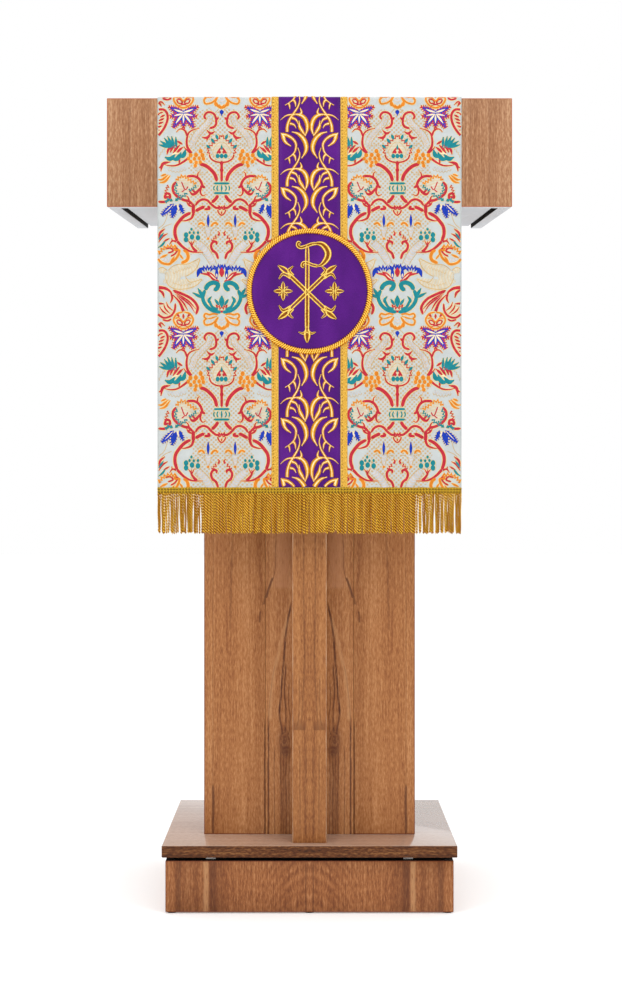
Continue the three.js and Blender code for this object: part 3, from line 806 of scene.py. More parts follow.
# One repeat, in millimetres: y is measured up from the vase, and x outwards from the axis. A line gives the
# thread, the half width, the kind of stroke and its points. A dot's points are the middles of its dots.
# A barb is a spine with teeth of that length on both sides. Of several threads each lies on the one before,
# and the last is a plain vein.
BROCADE_MIDDLE = """
teal 1.7 bar -12,7.2 12,7.2
teal 1.7 bar -12,-7.2 12,-7.2
teal 1.5 leaf 0,-5 0,5
teal 1.1 bar -10.3,-4 -11.8,0 -10.3,4
teal 1.1 bar 10.3,-4 11.8,0 10.3,4
teal 1.1 bar -5,-4.8 -7,0 -5,4.8
teal 1.1 bar 5,-4.8 7,0 5,4.8
beige 15 disc 0,40 0,76
red 2 bar 0,9.6 0,39
red 2.9 dot 0,27 0,37
teal 3.1 dot 0,47.6 -6,47.6 6,47.6
red 2 dot -3,53.4 3,53.4
red 1.4 bar -7.5,51 0,59.5 7.5,51
teal 2 drop 0,65 0,57
red 1.2 bar -6,-31 -2,-31 0,-27 2,-31 6,-31
red 1.1 bar -6,-31 -4.6,-36 0,-40 4.6,-36 6,-31
red 1 bar 0,-39 0,-33
red 3.8 leaf 0,-117 0,-131
teal 4.2 leaf 0,-176 0,-159
red 1.7 zig -8,-174 0,-177 8,-174
red 1.7 bar -15,-180 0,-182.5 15,-180
lilac 5 drop 0,-190 0,-201
orange 1.7 bar -9,-199 -6,-205 0,-208 6,-205 9,-199
orange 1.2 leaf -4,-203 0,-207 4,-203
blue 3.4 drop 0,-220 0,-211
"""

BROCADE_SIDES = """
red 2.5 bar 5,-10 9,-16 15,-21.5
red 2.7 bar 7,10 10,20 17,28.5 25,34 33,36
red 1.2 bar 0,38 9,39.5 16,44 18.6,51
red 1.2 zig 18.6,51 20.5,57 16,63 11,68 6,73 0,78
teal 2.3 leaf 17,59 22.5,64
teal 2.4 leaf 10.5,67 15.5,73.5
teal 2.4 leaf 5.5,72 8.5,79.5
gold .5 bar 0,43 9,46 13,54 8,64 0,70
orange 3 dot 31,55 46,49 28.5,49 38,49.4
orange 2.6 dot 27,43.6 33.2,44.4 40.4,43.6 45.6,39.6 37.7,38.2
orange 2.6 dot 39,33.4 49.2,44 31.6,38.6
red 2.1 tail 45,52 51,62 51.5,73 48.6,82 42,86.5 33,88.7
red 1.6 tail 46,52 53,58 56,62
red 1.7 tail 51,78 55,86 62,87.6 67,83
red 1.3 tail 55,85 56,92
red 1.8 bar 4,105 8,101 8,96 11,91 18.5,88.5
red 1.7 bar 8,100 10,108 15,112 21.5,112 25.5,106.5 23,101.5
red 1.9 leaf 10,84 16,81 22,86
red 2.1 leaf 16,82 21,75 29,75
red 1.3 leaf 20,77 22,70
lilac 3.6 bar 17,106 20,97 30,86.5 40,74 44,60
gold .5 zig 17,104 20,95 30,84.5 40,72 43,62
lilac 1.4 zig 24,26 31,31 40,28
lilac 1.4 zig 55,30 66,28 78,30
gold .5 bar 13,106 16,95 27,83 36,71 40,61
gold .5 bar 21,107 24,99 34,90 44,77 48,66
teal 2.1 leaf 67,60 68,76
teal 2.1 leaf 70,59 74,77
teal 2.2 leaf 72,60 80,77
teal 2.2 leaf 74,60 85,74.5
teal 2.2 leaf 75,60 91,70
teal 2.1 leaf 77,60 93,64.5
red 1.8 leaf 58,65 66,70
teal 3.4 leaf 53.5,57 56.5,48.6 64,46
teal 3.6 leaf 60,53 65.5,44 74,43
teal 3.4 leaf 69,50 76,43.5 84,46
red 2 leaf 57,61 62,57 67,52
red 2.1 leaf 62,64 67,59 72,52
red 2 leaf 68,64 73,60 76,53
red 1.9 leaf 74,62 79,57 81,50
cream 1 leaf 62,51 68,52 74,49
red 1.8 tail 49,45 57,39 67,34 78,33.5 87,36
red 2.3 leaf 76,39 87,36 90,25
red 1.5 leaf 86,34 93,30
red 1.5 leaf 63,37 62,44
red 1.3 bar 74,134 80,131 88,133
red 1.8 leaf 89,121 93,127 98,129
red 1.8 bar 97,116 86,116.4 80.5,110 80.3,101 84.4,90.4 91,81 97,75
red 1 bar 86,112.5 92,111 95.5,105 97,98
beige 5 leaf 88,114 86,98 95,76
red 1.6 leaf 84,108.6 91,105
red 1.6 leaf 85,103.4 93,100
red 1.6 leaf 86.3,98.2 95,95
red 1.5 leaf 88.6,92.4 96,90
red 1.4 leaf 91.5,86 97,86
red 2 bar 24,1 28,3 30.5,9.6 35,15.3 42,18 52,17.5
red 1.4 tail 36,15.5 35,22 32,25
red 1.9 tail 30,4 31.5,-6 28,-11 23,-9
red 2.3 leaf 31,2 37,-6 43,-9 48,-4
red 1.7 leaf 38,-7 44,-2
beige 12 disc 58,-11 53,17
red 2 bar 67,10 72,3 71,-6 64.5,-13 55.5,-17.5 48.5,-19 42,-25
orange 1.4 zig 38,7 46,11 52,16 60,18 67,12
teal 1.4 zig 66,7 69,0 66,-8 58,-13 52,-7
teal 1.4 zig 38,4 42,-1 48,-3
red .9 bar 60,11 54,-2 49,4
red .9 bar 54,-2 60,-6
red 1.6 tail 48,-19 50,-13 53,-11
red 1.5 tail 44,-21 51,-24
teal 1.5 barb4 69,-19 64,-15 59,-15
teal 1.5 barb4 72,-19 78,-17 84,-21
blue 2.8 barb5.4 62,-23 60,-30 57,-36
blue 4.2 barb7 67,-25 71,-34 73,-42
blue/cream 3.4 barb6.4 71,-23 80,-32 89,-40
cream 1.5 leaf 66,-24 63,-32
orange 1.7 leaf 76,19 84,10 92,8
orange 1.7 leaf 79,20 88,13 94,13
orange 1.5 leaf 82,21 90,18
red 1.2 zig 79,4 82,-3 83,-8
red 1.9 bar 78,-12 84,-14 82,-8 77,-9 77,-15 84,-20 94,-20
red 1.8 bar 5,-25 3.3,-28 8,-29 15,-24 21,-18 28,-16.5 35,-20 39,-26
red 2.1 bar 21,-26 18,-30 26,-31
red 2.5 bar 25,-27 32,-30 39,-34
red 2.6 bar 41.5,-23 42,-31 41.5,-38
red 2.1 tail 41.5,-37 45,-44.5 54,-48 60,-48
red 1.6 leaf 42,-28 48,-25 52,-20
red 2.5 bar 45.5,-36 55,-41 62,-48 68,-57 69,-68 65.5,-79
red 2.2 tail 65.5,-79 55.5,-88.5 44,-94 28,-94.7
red 1.7 tail 67,-79 73,-78 77,-83
red 1.2 tail 73,-78 74,-74
blue 2.3 leaf 20,-39 20,-57
lilac 1.1 leaf 20,-43 20,-53
orange 1.5 bar 5.5,-55 8,-51.5 12,-52 16,-57
orange 1.5 bar 35,-54 31,-51.5 28,-52 25,-56
lilac 3.6 tail 20,-58 20,-74
gold .5 bar 3,-60 9,-58 15,-62 18,-73
gold .5 bar 37,-58 31,-57 25,-62 22,-73
gold .5 bar 14,-41 11,-47 3,-48
gold .5 bar 26,-41 29,-47 38,-48
orange 1.8 dot 20,-74.5
teal 3.6 dot 35,-73.2 43.8,-72 52.6,-69 52.6,-76
teal 2 dot 35,-65.6 41.2,-65.9 47.4,-65.5 44.6,-60.6
red 2.4 tail 37,-94 41,-90 45,-84 44.5,-79
red 1.2 tail 44,-84 40,-77
red 1.2 tail 45,-83 49.5,-77.5
red 1.8 tail 5,-70 3.5,-66 6,-63.5
red 1.3 zig 8,-71 11,-75 14,-78
red 1.9 bar 8,-84 7.5,-80 12,-79 15.5,-84 14,-91 8,-96.5 5,-105
red 1.5 leaf 8,-95 15,-93
lilac 4.4 bar 36,-80.6 24,-92 16,-105 12,-113
gold .5 bar 33,-76 20,-88 11,-103 7,-113
gold .5 bar 41,-84 29,-96 21,-107 17,-114
gold .5 zig 37,-81 24,-93 16,-105
blue 2.6 zig 0,-116 8,-116.5 12,-120 19,-117.5 27,-119 33,-124
blue 3.2 leaf 26,-117 33,-122 36,-131
blue 2.6 leaf 7.5,-118 7,-134
cream 1.1 leaf 7.4,-126 7,-132
red 3.4 leaf 4,-138 11,-134 17,-127 22,-124
red 1.7 leaf 14,-134 20,-128 31,-126
cream .8 leaf 7,-136 13,-131 18,-126
teal 3.4 bar 12,-151 7,-148 5.6,-142 12,-139.5 20,-143 24.5,-150.6
teal 2.8 bar 24.5,-150 28,-162 23,-173.5 13,-181 1,-183.5
teal 2.6 leaf 27,-162 35,-148
teal 2.3 leaf 27,-163 43,-154.5
teal 2.4 leaf 15,-160 19,-166 14,-173
teal 2.2 leaf 4,-173 10,-164
teal 1.9 bar 5,-179 13,-176 18,-169
lilac 1.4 leaf 22,-158 21,-169
lilac 3 leaf 8,-189 16,-190 23,-190
lilac 3 leaf 8,-192 14,-196 22,-200
orange 1.3 bar 5,-187 12,-185.5 18,-187 24,-185.5 26,-190 22,-193
orange 1.3 bar 22,-193 26,-196 24,-202 16,-201 10,-197 7,-192
orange 1.1 leaf 7,-189 15,-192 22,-193
orange 1.2 bar 5,-190 8,-196 10,-202 8,-206
gold .5 bar 3,-208 10,-216
beige 10 leaf 84,-128 62,-122 46,-118 32,-104
beige 9 leaf 86,-137 66,-143 48,-142 28,-134
beige 9 disc 84,-131 60,-131
beige 5 leaf 82,-126 88,-121 96,-124
gold .7 bar 80,-122 73,-116 66,-113 50,-112 32,-103.5
gold .7 bar 32,-103.5 36,-116 44,-125 54,-131
gold .7 bar 54,-131 46,-139 28,-134
gold .7 bar 28,-134 38,-144 54,-149 68,-149 78,-144 84,-132
gold .7 bar 80,-122 88,-117 96,-121
gold .5 zig 46,-117 58,-121 72,-126
gold .5 zig 44,-141 58,-144 72,-140
lilac 3 leaf 93,-101 82,-106 72,-107
orange 1.7 zig 95,-101 89,-91 79,-86 67,-86.5
orange 1.7 bar 67,-86 69.5,-91.5 62.5,-92 66,-102 73,-109 79,-112.5 89,-110 95,-103
orange 2.3 bar 60,-111 52,-107 49.5,-101 52,-94 57,-91.5
orange 1.4 leaf 57,-105 62,-98
orange 1.6 leaf 91,-103 80,-98
orange 1.5 leaf 76,-110 70,-101
red 1.3 bar 84,-90 76,-88.5 72,-93 80,-96
red 1.3 bar 72,-89 65,-90 69,-97 76,-101
beige 6 leaf 68,-155 50,-166 38,-184
red 2 bar 72,-151 55,-158 43,-165 35.5,-176 38,-187
red 1.3 leaf 70,-154 58,-161 48,-168 38,-179
red 1.3 leaf 68,-157 55,-166 46,-174 40,-184
red 1.3 leaf 66,-160 57,-169 50,-181
red 2.4 tail 56.5,-182 62,-169 72,-158
red 2.8 tail 95,-147 84,-148 76,-153 72,-160
red 1.9 leaf 95,-150 88,-154 85,-162
red 1.7 leaf 76,-154 73,-162 76,-170
beige 10 disc 83,-192 83,-170
red 1.6 bar 68.4,-170 69.6,-181 75.4,-189 86,-191.5 95,-185 97,-176.6 93,-171 86,-171
red 1.2 leaf 86,-170 83.5,-178 76,-186
red 1.2 leaf 82,-168 79,-175.5 72,-181
red 1.2 leaf 92,-175 87,-182 80,-187
red 1.2 leaf 84,-204 90,-199 95,-203
orange 1.3 bar 56.5,-183 66,-186 71,-195 66,-204 56.5,-208 47,-204 42,-195 47,-186 56.5,-183
red 1.8 leaf 46,-185 50.5,-190.5
red 1.8 leaf 56.5,-186 56.5,-193
red 1.8 leaf 67,-185 62.5,-190.5
orange 1.1 bar 44,-193 50,-192 56.5,-198 63,-192 69,-193
red 1.1 bar 46,-195 52,-196 55,-201 49,-201 46,-195
red 1.1 bar 67,-195 61,-196 58,-201 64,-201 67,-195
red 1.1 leaf 50,-205 56.5,-203 63,-205
blue 5 disc 56.5,-230 56.5,-212
red/blue/cream 4.6 barb7.4 56,-215 66,-212 77,-207
red/blue/cream 4.6 barb7.4 57,-215 47,-212 36,-207
red/blue/cream 4 barb6.8 57,-217 67,-219 76,-221
red/blue/cream 4 barb6.8 56,-217 46,-219 37,-221
red/blue/cream 5 barb7.6 57,-217 65,-227 72,-238
red/blue/cream 5 barb7.6 56,-217 48,-227 41,-238
red/blue/cream 4.4 barb6.6 56.5,-218 56.5,-237
red 1.8 leaf 84,-60 91,-66 93,-74
red 1.6 leaf 80,-67 88,-72 93,-80
red 1.4 leaf 77,-74 86,-79
teal 1.8 leaf 86,-66 93,-76
teal 1.7 leaf 82,-76 88,-84 94,-88
gold .5 bar 76,-22 84,-50 94,-60
gold .5 bar 73,-52 86,-58 95,-70
gold .5 zig 20,25 28,20 38,28
gold .5 zig 52,28 66,24 80,27
gold .5 zig 22,60 30,66 36,62
gold .5 zig 84,60 90,52 94,44
"""

WEIGHT = 1.12  # how much fuller the coloured strokes are than drawn
KINDS = {"bar": even, "leaf": leaf, "tail": tail, "drop": drop, "disc": disc}
ZIGZAG = 4.8  # the length of one tooth along a jagged stroke
BARB_PITCH = 4.2  # from one tooth of a barbed leaf to the next
BARB_HALF = 1.7
BARB_ANGLE = math.radians(52)  # between a tooth and its spine


def barbed(d, colours, half, reach, points):
    """The spine and teeth of a jagged leaf, in one thread over another, with a vein on top."""
    for k, colour in enumerate(colours):
        vein = k > 0 and k == len(colours) - 1
        line = spline(points, 0.7)
        line = line[: round(len(line) * (1 - 0.09 * k - 0.12 * vein))]
        spine = half * (0.31 if vein else 1 - 0.24 * k)
        d.stroke(colour, spine, leaf, *line[:: max(1, len(line) // 5)], line[-1])
        if vein:
            continue
        along, side = headings(line)
        every = round(BARB_PITCH / np.linalg.norm(line[1] - line[0]))
        for i in range(every // 2, len(line), every):
            long = (reach - 1.7 * k) * math.sin(math.pi * (0.2 + 0.68 * i / len(line)))
            for sign in (-1, 1):
                way = math.cos(BARB_ANGLE) * along[i] + sign * math.sin(BARB_ANGLE) * side[i]
                d.stroke(colour, BARB_HALF - 0.3 * k, tail, line[i], line[i] + long * way)


def jagged(d, colour, half, points):
    """A stroke that zigzags about its line."""
    line = spline(points, 0.5)
    length = lengths(line)
    teeth = max(2, round(length[-1] / ZIGZAG)) * 2
    at = np.linspace(0, length[-1], teeth + 1)
    base = np.stack([np.interp(at, length, line[:, i]) for i in (0, 1)], axis=1)
    _, side = headings(base)
    reach = np.where(np.arange(teeth + 1) % 2, 1.0, -1.0) * (half * 0.6 + 0.9)
    d.strokes.append((colour, base + side * reach[:, None], np.full(len(base), half)))


def drawn(design):
    """The drawing that a design in the notation above stands for."""
    d = Drawing()
    for entry in design.strip().split("\n"):
        colour, half, kind, *places = entry.split()
        half = float(half) * (1 if colour in RIMLESS else WEIGHT)
        points = [tuple(float(v) for v in place.split(",")) for place in places]
        if kind == "dot":
            for x, y in points:
                d.dot(colour, half, x, y)
        elif kind.startswith("barb"):
            barbed(d, colour.split("/"), half, float(kind[4:]), points)
        elif kind == "zig":
            jagged(d, colour, half, points)
        else:
            d.stroke(colour, half, KINDS[kind], *points)
    return d


# Which threads lie over which: (colour, height of the base, height of the crown), in millimetres.
WOVEN = {
    "rim": ((226, 202, 140), 0.60, 0.28),
    "beige": ((202, 196, 178), 0.60, 0.26),
    "lilac": ((190, 192, 198), 0.60, 0.26),
    "gold": ((200, 164, 104), 0.60, 0.30),
    "red": ((184, 32, 50), 0.62, 0.40),
    "orange": ((216, 124, 20), 0.62, 0.44),
    "teal": ((0, 126, 136), 0.62, 0.44),
    "blue": ((0, 50, 170), 0.62, 0.44),
    "cream": ((240, 220, 182), 0.64, 0.48),
}
RIMLESS = ("beige", "lilac", "gold")
SECTIONS = {"rim": Threads.RIM, "beige": Threads.PLATE, "lilac": Threads.PLATE}


def woven_thread(name, colour, figured=False):
    """Floats of silk: short lines across, a soft shine and some wear. Figured ones have chevrons."""
    shader = Shader("woven_" + name)
    x, y, z = shader.split(shader.place())
    weave = (shader.wave(z, 0.0011) + shader.wave(x + y, 0.0009) * 0.5) * 0.3 + 0.5
    patches = shader.noise(shader.place(), scale=170, detail=3)
    dark = tuple(c * 0.62 for c in colour)
    light = tuple(min(1.0, c * 1.15 + 0.02) for c in colour)
    tone = weave * 0.45 + patches * 0.6
    shade = shader.ramp(tone, (0.2, dark), (0.55, colour), (0.85, light))
    if figured:
        u, v, _ = shader.split(shader.uv())
        chevrons = shader.between(shader.wave(abs(v) * 0.0022 + u, 0.0044), -0.1, 0.5)
        shade = shader.mix(chevrons * 0.55, shade, linear(204, 176, 132))
    shader.colour(shade)
    shader.roughness(patches * 0.2 + 0.42)
    shader.bump(weave, 0.0002)
    return shader.material


LATTICE_PITCH = 6.6 * MM
LATTICE_FIELD = (47 * MM, -98 * MM, 114 * MM)  # its half width, foot and top about the vase


def brocade_ground():
    """The ground of the brocade: ribbed silver, with a lattice of small beige diamonds round each vase."""
    shader = Shader("brocade_ground")
    u, v, _ = shader.split(shader.uv())
    flat = shader.join(u, v, 0.0)
    weave = (shader.wave(v, 0.00105) + shader.wave(u, 0.0008) * 0.4) * 0.33 + 0.5
    rising, falling = (shader.wave(u + v * side, LATTICE_PITCH, "COSINE") for side in (1, -1))
    dots = shader.between(rising + falling, 0.05, 0.85)
    half, foot, top = LATTICE_FIELD
    ragged = shader.noise(flat, scale=70, detail=2) * 0.034 - 0.017
    across = abs(abs(u) - PANEL_AXIS * MM)
    up = (v - FIRST_VASE * MM) * (1 / STRETCH)
    up = shader.math("MAXIMUM", up, v - (FIRST_VASE + STRETCHED * (STRETCH - 1)) * MM)
    tall = (top - foot) / 2
    up = abs(shader.math("FLOORED_MODULO", up - foot, REPEAT * MM) - tall)
    inside = shader.between(across + ragged, half + MM, half) * shader.between(up + ragged, tall, tall - MM)
    dots = dots * inside
    soft = shader.noise(flat, scale=60, detail=3)
    colour = shader.mix(soft, linear(180, 185, 184), linear(202, 207, 206))
    colour = shader.mix(dots * 0.9, colour, linear(196, 160, 106))
    colour = shader.mix(shader.between(weave, 0.5, 0.1) * 0.3, colour, linear(136, 138, 136))
    shader.colour(colour)
    shader.roughness(weave * -0.12 + 0.5)
    shader.bump(weave + dots * 1.2, 0.00022)
    return shader.material


def lining():
    """Cream twill."""
    shader = Shader("lining")
    u, v, _ = shader.split(shader.uv())
    soft = shader.noise(shader.uv(), scale=30, detail=3)
    shader.colour(shader.mix(soft, linear(214, 206, 186), linear(232, 226, 208)))
    shader.roughness(soft * 0.2 + 0.45)
    shader.bump(shader.wave(u + v, 0.0008), 0.00012)
    return shader.material


def satin():
    """Purple satin: long warp floats, with a shine that breaks into fine lines, and soft lighter streaks of
    painted sheen in its colour.
    """
    shader = Shader("purple_satin", Specular_IOR_Level=0.15)
    u, v, _ = shader.split(shader.uv())
    flat = shader.join(u, v, 0.0)
    floats = shader.noise(shader.scaled(flat, 2600, 420, 1), detail=2, roughness=0.6)
    # soft paints broad lighter streaks along the band into the colour: painted sheen.
    soft = shader.noise(shader.scaled(flat, 26, 11, 1), detail=3)
    tones = (linear(58, 5, 92), linear(76, 11, 113), linear(94, 28, 132))
    shader.colour(shader.ramp(floats * 0.5 + soft * 0.5, *zip((0.34, 0.5, 0.68), tones)))
    shader.roughness(floats * 0.24 + 0.3)
    shader.bump(floats, 0.00012)
    return shader.material


def metal_thread(name, tones, pitch, slant, rough=0.36, metallic=0.2, crest=0.0, reach=0.95):
    """Gold thread laid across a stroke, with painted shade at its edges and a painted highlight at crest.

    crest and reach, how far the painted highlight goes from there, are shares of the stroke's half width."""
    shader = Shader(name, Metallic=metallic)
    u, v, _ = shader.split(shader.uv())
    stitch = shader.wave(u * (1 / pitch) + v * slant) * 0.5 + 0.5
    mottle = shader.noise(shader.place(), scale=420, detail=3)
    # crown is the painted highlight across the stroke, fading to painted shade at its edges.
    crown = shader.between(abs(abs(v) - crest), reach, 0.0) ** 1.6
    tone = crown * 0.5 + mottle * 0.4 + stitch * 0.1
    shader.colour(shader.ramp(tone, *zip((0.25, 0.56, 0.86), tones)))
    shader.roughness(mottle * 0.25 + (rough - 0.08))
    shader.bump(stitch, 0.00018)
    return shader.material


# ------------------------------------------------------------------ the cover's cloth
CLOTH = 0.7 * MM
LINING = 0.25 * MM
HALF_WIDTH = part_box("cover_cloth")[1].x
BAND_LIFT = (0.72 * MM, 1.35 * MM)
BRAID_LIFT = 0.8 * MM
DISC_LIFT = (2.3 * MM, 3.0 * MM)


def ride_cover(piece, slot, *replaced):
    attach(piece, "cover")
    if replaced:
        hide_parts(*replaced)
    return piece


def make_cloth():
    xs = np.linspace(-HALF_WIDTH, HALF_WIDTH, 101)
    ss = drape.stations(0, drape.end, 4.5 * MM)
    cloth = slab("brocade_cloth", xs, ss, LINING, CLOTH, brocade_ground())
    ride_cover(cloth, "brocade", "cover_cloth")
    inner = slab("cover_lining", xs[::2] * 0.998, ss, 0, LINING * 0.9, lining())
    ride_cover(inner, "brocade")
    return cloth


def woven(drawing, count):
    """A repeat of the drawing, at its own height on the cloth."""
    placed = Drawing()
    for colour, line, half in drawing.strokes:
        up = line[:, 1] + count * REPEAT
        s = FIRST_VASE + up + np.clip(up, 0, STRETCHED) * (STRETCH - 1)
        s += np.minimum(up, 0) * (STRETCH_BELOW - 1)
        placed.strokes.append((colour, np.stack([line[:, 0], s], axis=1), half))
    return placed


def make_brocade():
    end = drape.end / MM
    inner, outer = BRAID_MIDDLE, HALF_WIDTH / MM - HEM_MARGIN
    middle, sides = drawn(BROCADE_MIDDLE), drawn(BROCADE_SIDES)
    silks = {}
    for name, (colour, _, _) in WOVEN.items():
        silks[name] = woven_thread(name, linear(*colour), figured=name in ("beige", "lilac"))
    for panel, side in ((-1, "left"), (1, "right")):
        threads = {}
        for name, (_, base, rise) in WOVEN.items():
            threads[name] = Threads(base * MM, rise * MM, SECTIONS.get(name, Threads.FLAT))
        low, high = sorted((panel * inner, panel * outer))
        room = ((low, HEM_MARGIN), (high, end - HEM_MARGIN))
        axis = panel * PANEL_AXIS
        for count in range(REPEATS):
            for sign in (-1, 1):
                lay(woven(sides, count), threads, axis, 0, sign, edge="rim", room=room)
            lay(woven(middle, count), threads, axis, 0, edge="rim", room=room)
        for name, gathered in threads.items():
            ride_cover(gathered.piece(f"brocade_{name}_{side}", silks[name]), "brocade")


# ------------------------------------------------------------------ the purple band and its vine
BAND_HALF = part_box("orphrey_band")[1].x
BRAID_INNER, BRAID_OUTER = (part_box("galloon_right")[i].x for i in (0, 1))
BRAID_MIDDLE = (BRAID_INNER + BRAID_OUTER) / 2 / MM
BAND_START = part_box("orphrey_band")[0].z - drape.hem
MEDALLION_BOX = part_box("medallion_ground")
MEDALLION_RADIUS = MEDALLION_BOX[1].x
MEDALLION_S = (MEDALLION_BOX[0].z + MEDALLION_BOX[1].z) / 2 - drape.hem
VINE_LIFT = 1.25 * MM
VINE_RISE = 1.15 * MM
VINE_SPAN = 80.5  # the vine's repeat, in millimetres
VINE_WEIGHT = 1.13  # how much fuller it is than drawn
VINE_STRETCH = 1.105  # below the medallion
VINE_ABOVE, VINE_BELOW = 72.8, 99  # from the medallion's middle to the nearest leaf's tip on each side


def vine():
    """One repeat of the thorny vine: x is the distance from the middle, y falls from the leaf's tip."""
    d = Drawing(step=1.3)

    def branch(half, shape, *points):
        d.stroke("vine", VINE_WEIGHT * half, shape, *[(x, -y) for x, y in points])

    # The hooked leaf and the arc that leaves it, with two thorns.
    branch(2.9, leaf, (42.4, -0.6), (39.5, 3), (36, 8.5))
    branch(3.5, tail, (39.2, 2), (38.2, 8), (34.6, 14), (27.5, 19.2))
    hook = (40.5, 1.6), (33, 3.2), (25, 8.2), (20, 16), (21.2, 26), (25, 31.5), (31, 36), (36.2, 39)
    branch(2.7, tail, *hook)
    branch(2.3, tail, (24, 31), (21.2, 35), (20.4, 41.5))
    branch(2.0, tail, (31, 36), (29.6, 40), (29, 45))
    # The crescent.
    branch(3.7, leaf, (26, -2), (17, 0.7), (9.2, 7.8), (5, 17.6), (5.6, 26.8), (11.6, 37))
    # The stem that crosses from the crescent to the next leaf.
    stem = (33.1, 78.6), (32.7, 70), (29.6, 60.6), (23.3, 51), (17, 41), (14.4, 31), (17.2, 21.5)
    branch(2.7, tail, *stem)
    branch(2.6, tail, (15, 54.5), (11.8, 49.5), (13.8, 43))
    # The arc that crosses it and turns into the inner leaf.
    branch(1.8, tail, (22, 53), (31, 53.5), (37, 56), (43, 61))
    branch(3.5, leaf, (25, 52.3), (14, 53.5), (6.8, 59), (3.4, 68), (3.6, 76), (6.6, 85))
    branch(2.9, leaf, (15.4, 62), (14.8, 70), (11, 77), (6, 84.5))
    branch(2.5, tail, (26.5, 57.5), (20, 60.5), (17, 67))
    branch(2.3, tail, (29, 66), (23, 68), (19.8, 73))
    return d


def make_band():
    xs = np.linspace(-BAND_HALF, BAND_HALF, 17)
    ss = drape.stations(BAND_START, drape.end - BAND_START, 5 * MM)
    purple = satin()
    ride_cover(slab("orphrey_satin", xs, ss, *BAND_LIFT, purple), "purple_satin", "orphrey_band")

    # The near-white tone is a painted highlight along each stroke's middle, and the darkest is painted shade
    # at its edges.
    tones = (linear(196, 126, 8), linear(234, 172, 40), linear(255, 252, 214))
    gold = metal_thread("vine_thread", tones, 0.0009, 0.35, reach=0.8)
    threads = {"vine": Threads(VINE_LIFT, VINE_RISE, Threads.RIDGE)}
    centre = MEDALLION_S / MM
    edge = BAND_HALF / MM - 0.5
    end = (drape.end - BAND_START) / MM
    rope = MEDALLION_RADIUS / MM - 1
    drawing = vine()
    # Above the medallion the repeats run up over the head, and below it they run down to the hem: (the place
    # of the leaf's tip, stretch, lower end, upper end).
    above = [(centre + VINE_ABOVE + (k + 1) * VINE_SPAN, 1.0, centre + 60, end) for k in range(-1, 10)]
    fall, foot = VINE_SPAN * VINE_STRETCH, BAND_START / MM + 0.5
    below = [(centre - VINE_BELOW - k * fall, VINE_STRETCH, foot, centre) for k in range(-1, 3)]
    for top, stretch, low, high in above + below:
        clear = Drawing()
        for colour, line, half in drawing.strokes:
            for sign in (-1, 1):
                plan = np.stack([sign * line[:, 0], top + stretch * line[:, 1]], axis=1)
                outside = np.hypot(plan[:, 0], plan[:, 1] - centre) > rope
                inside = outside & (plan[:, 1] > low) & (plan[:, 1] < high) & (np.abs(plan[:, 0]) < edge)
                for run in unbroken(inside):
                    clear.strokes.append((colour, plan[run], half[run]))
        lay(clear, threads, 0, 0)
    ride_cover(threads["vine"].piece("orphrey_vine", gold), "gold_thread")


STITCH_SIDE = 0.24  # where a braid's row of stitches runs, as a share of its width from its left edge
STITCH_PITCH = 5.2 * MM
WRAP_PITCH = 3.6 * MM


def braid_gold():
    """Woven gold braid: small diagonal wraps in bright and dull gold, and a row of dark stitches."""
    shader = Shader("braid_gold", Metallic=0.15)
    u, v, _ = shader.split(shader.uv())
    rising, falling = (shader.wave(u + v * side, 0.0024) for side in (1, -1))
    basket = rising * falling * 0.5 + 0.5
    fine = shader.noise(shader.scaled(shader.uv(), 1500, 900, 1), detail=3, roughness=0.65)
    patches = shader.noise(shader.uv(), scale=520, detail=2)
    tones = (linear(156, 98, 8), linear(212, 154, 28), linear(252, 214, 104))
    colour = shader.ramp(basket * 0.35 + fine * 0.25 + patches * 0.4, *zip((0.4, 0.5, 0.6), tones))
    wide = BRAID_OUTER - BRAID_INNER
    rows = []
    for left in (-BRAID_OUTER, BRAID_INNER):
        off = abs(u - (left + STITCH_SIDE * wide))
        rows.append(shader.between(off, 0.0011, 0.0005))
    stitches = shader.between(shader.wave(v, STITCH_PITCH), 0.2, 0.7)
    stitches = shader.math("MAXIMUM", *rows) * stitches
    shader.colour(shader.mix(stitches * 0.7, colour, linear(104, 62, 10)))
    shader.roughness(fine * 0.3 + 0.25)
    shader.bump(basket + fine, 0.0003)
    return shader.material


def make_braids():
    gold = braid_gold()
    ss = drape.stations(BAND_START, drape.end - BAND_START, 1.2 * MM)
    for side, sign in (("left", -1), ("right", 1)):
        across = np.linspace(0, 1, 12)
        xs = sign * (BRAID_INNER + (BRAID_OUTER - BRAID_INNER) * across)
        if sign < 0:
            xs, across = xs[::-1], across[::-1]
        crown = np.sqrt(np.clip(1 - (2 * across - 1) ** 6, 0.05, 1))
        from_left = across if sign > 0 else 1 - across
        t, s = np.meshgrid(from_left, ss)
        up, out = s / WRAP_PITCH, t * 1.6
        wraps = np.sin(2 * math.pi * (up + out)) * np.sin(2 * math.pi * (up - out))
        # A row of stitches holds each braid down near its left edge.
        stitch = np.clip(1 - np.abs(t - STITCH_SIDE) / 0.1, 0, 1)
        stitch = stitch * np.clip(np.sin(2 * math.pi * s / STITCH_PITCH), 0, 1)
        high = BRAID_LIFT + MM * (0.75 * crown[None, :] + 0.13 * wraps * crown[None, :] - 0.6 * stitch)
        piece = slab(f"braid_{side}", xs, ss, BRAID_LIFT - 0.3 * MM, high, gold)
        ride_cover(piece, "gold_braid", f"galloon_{side}")


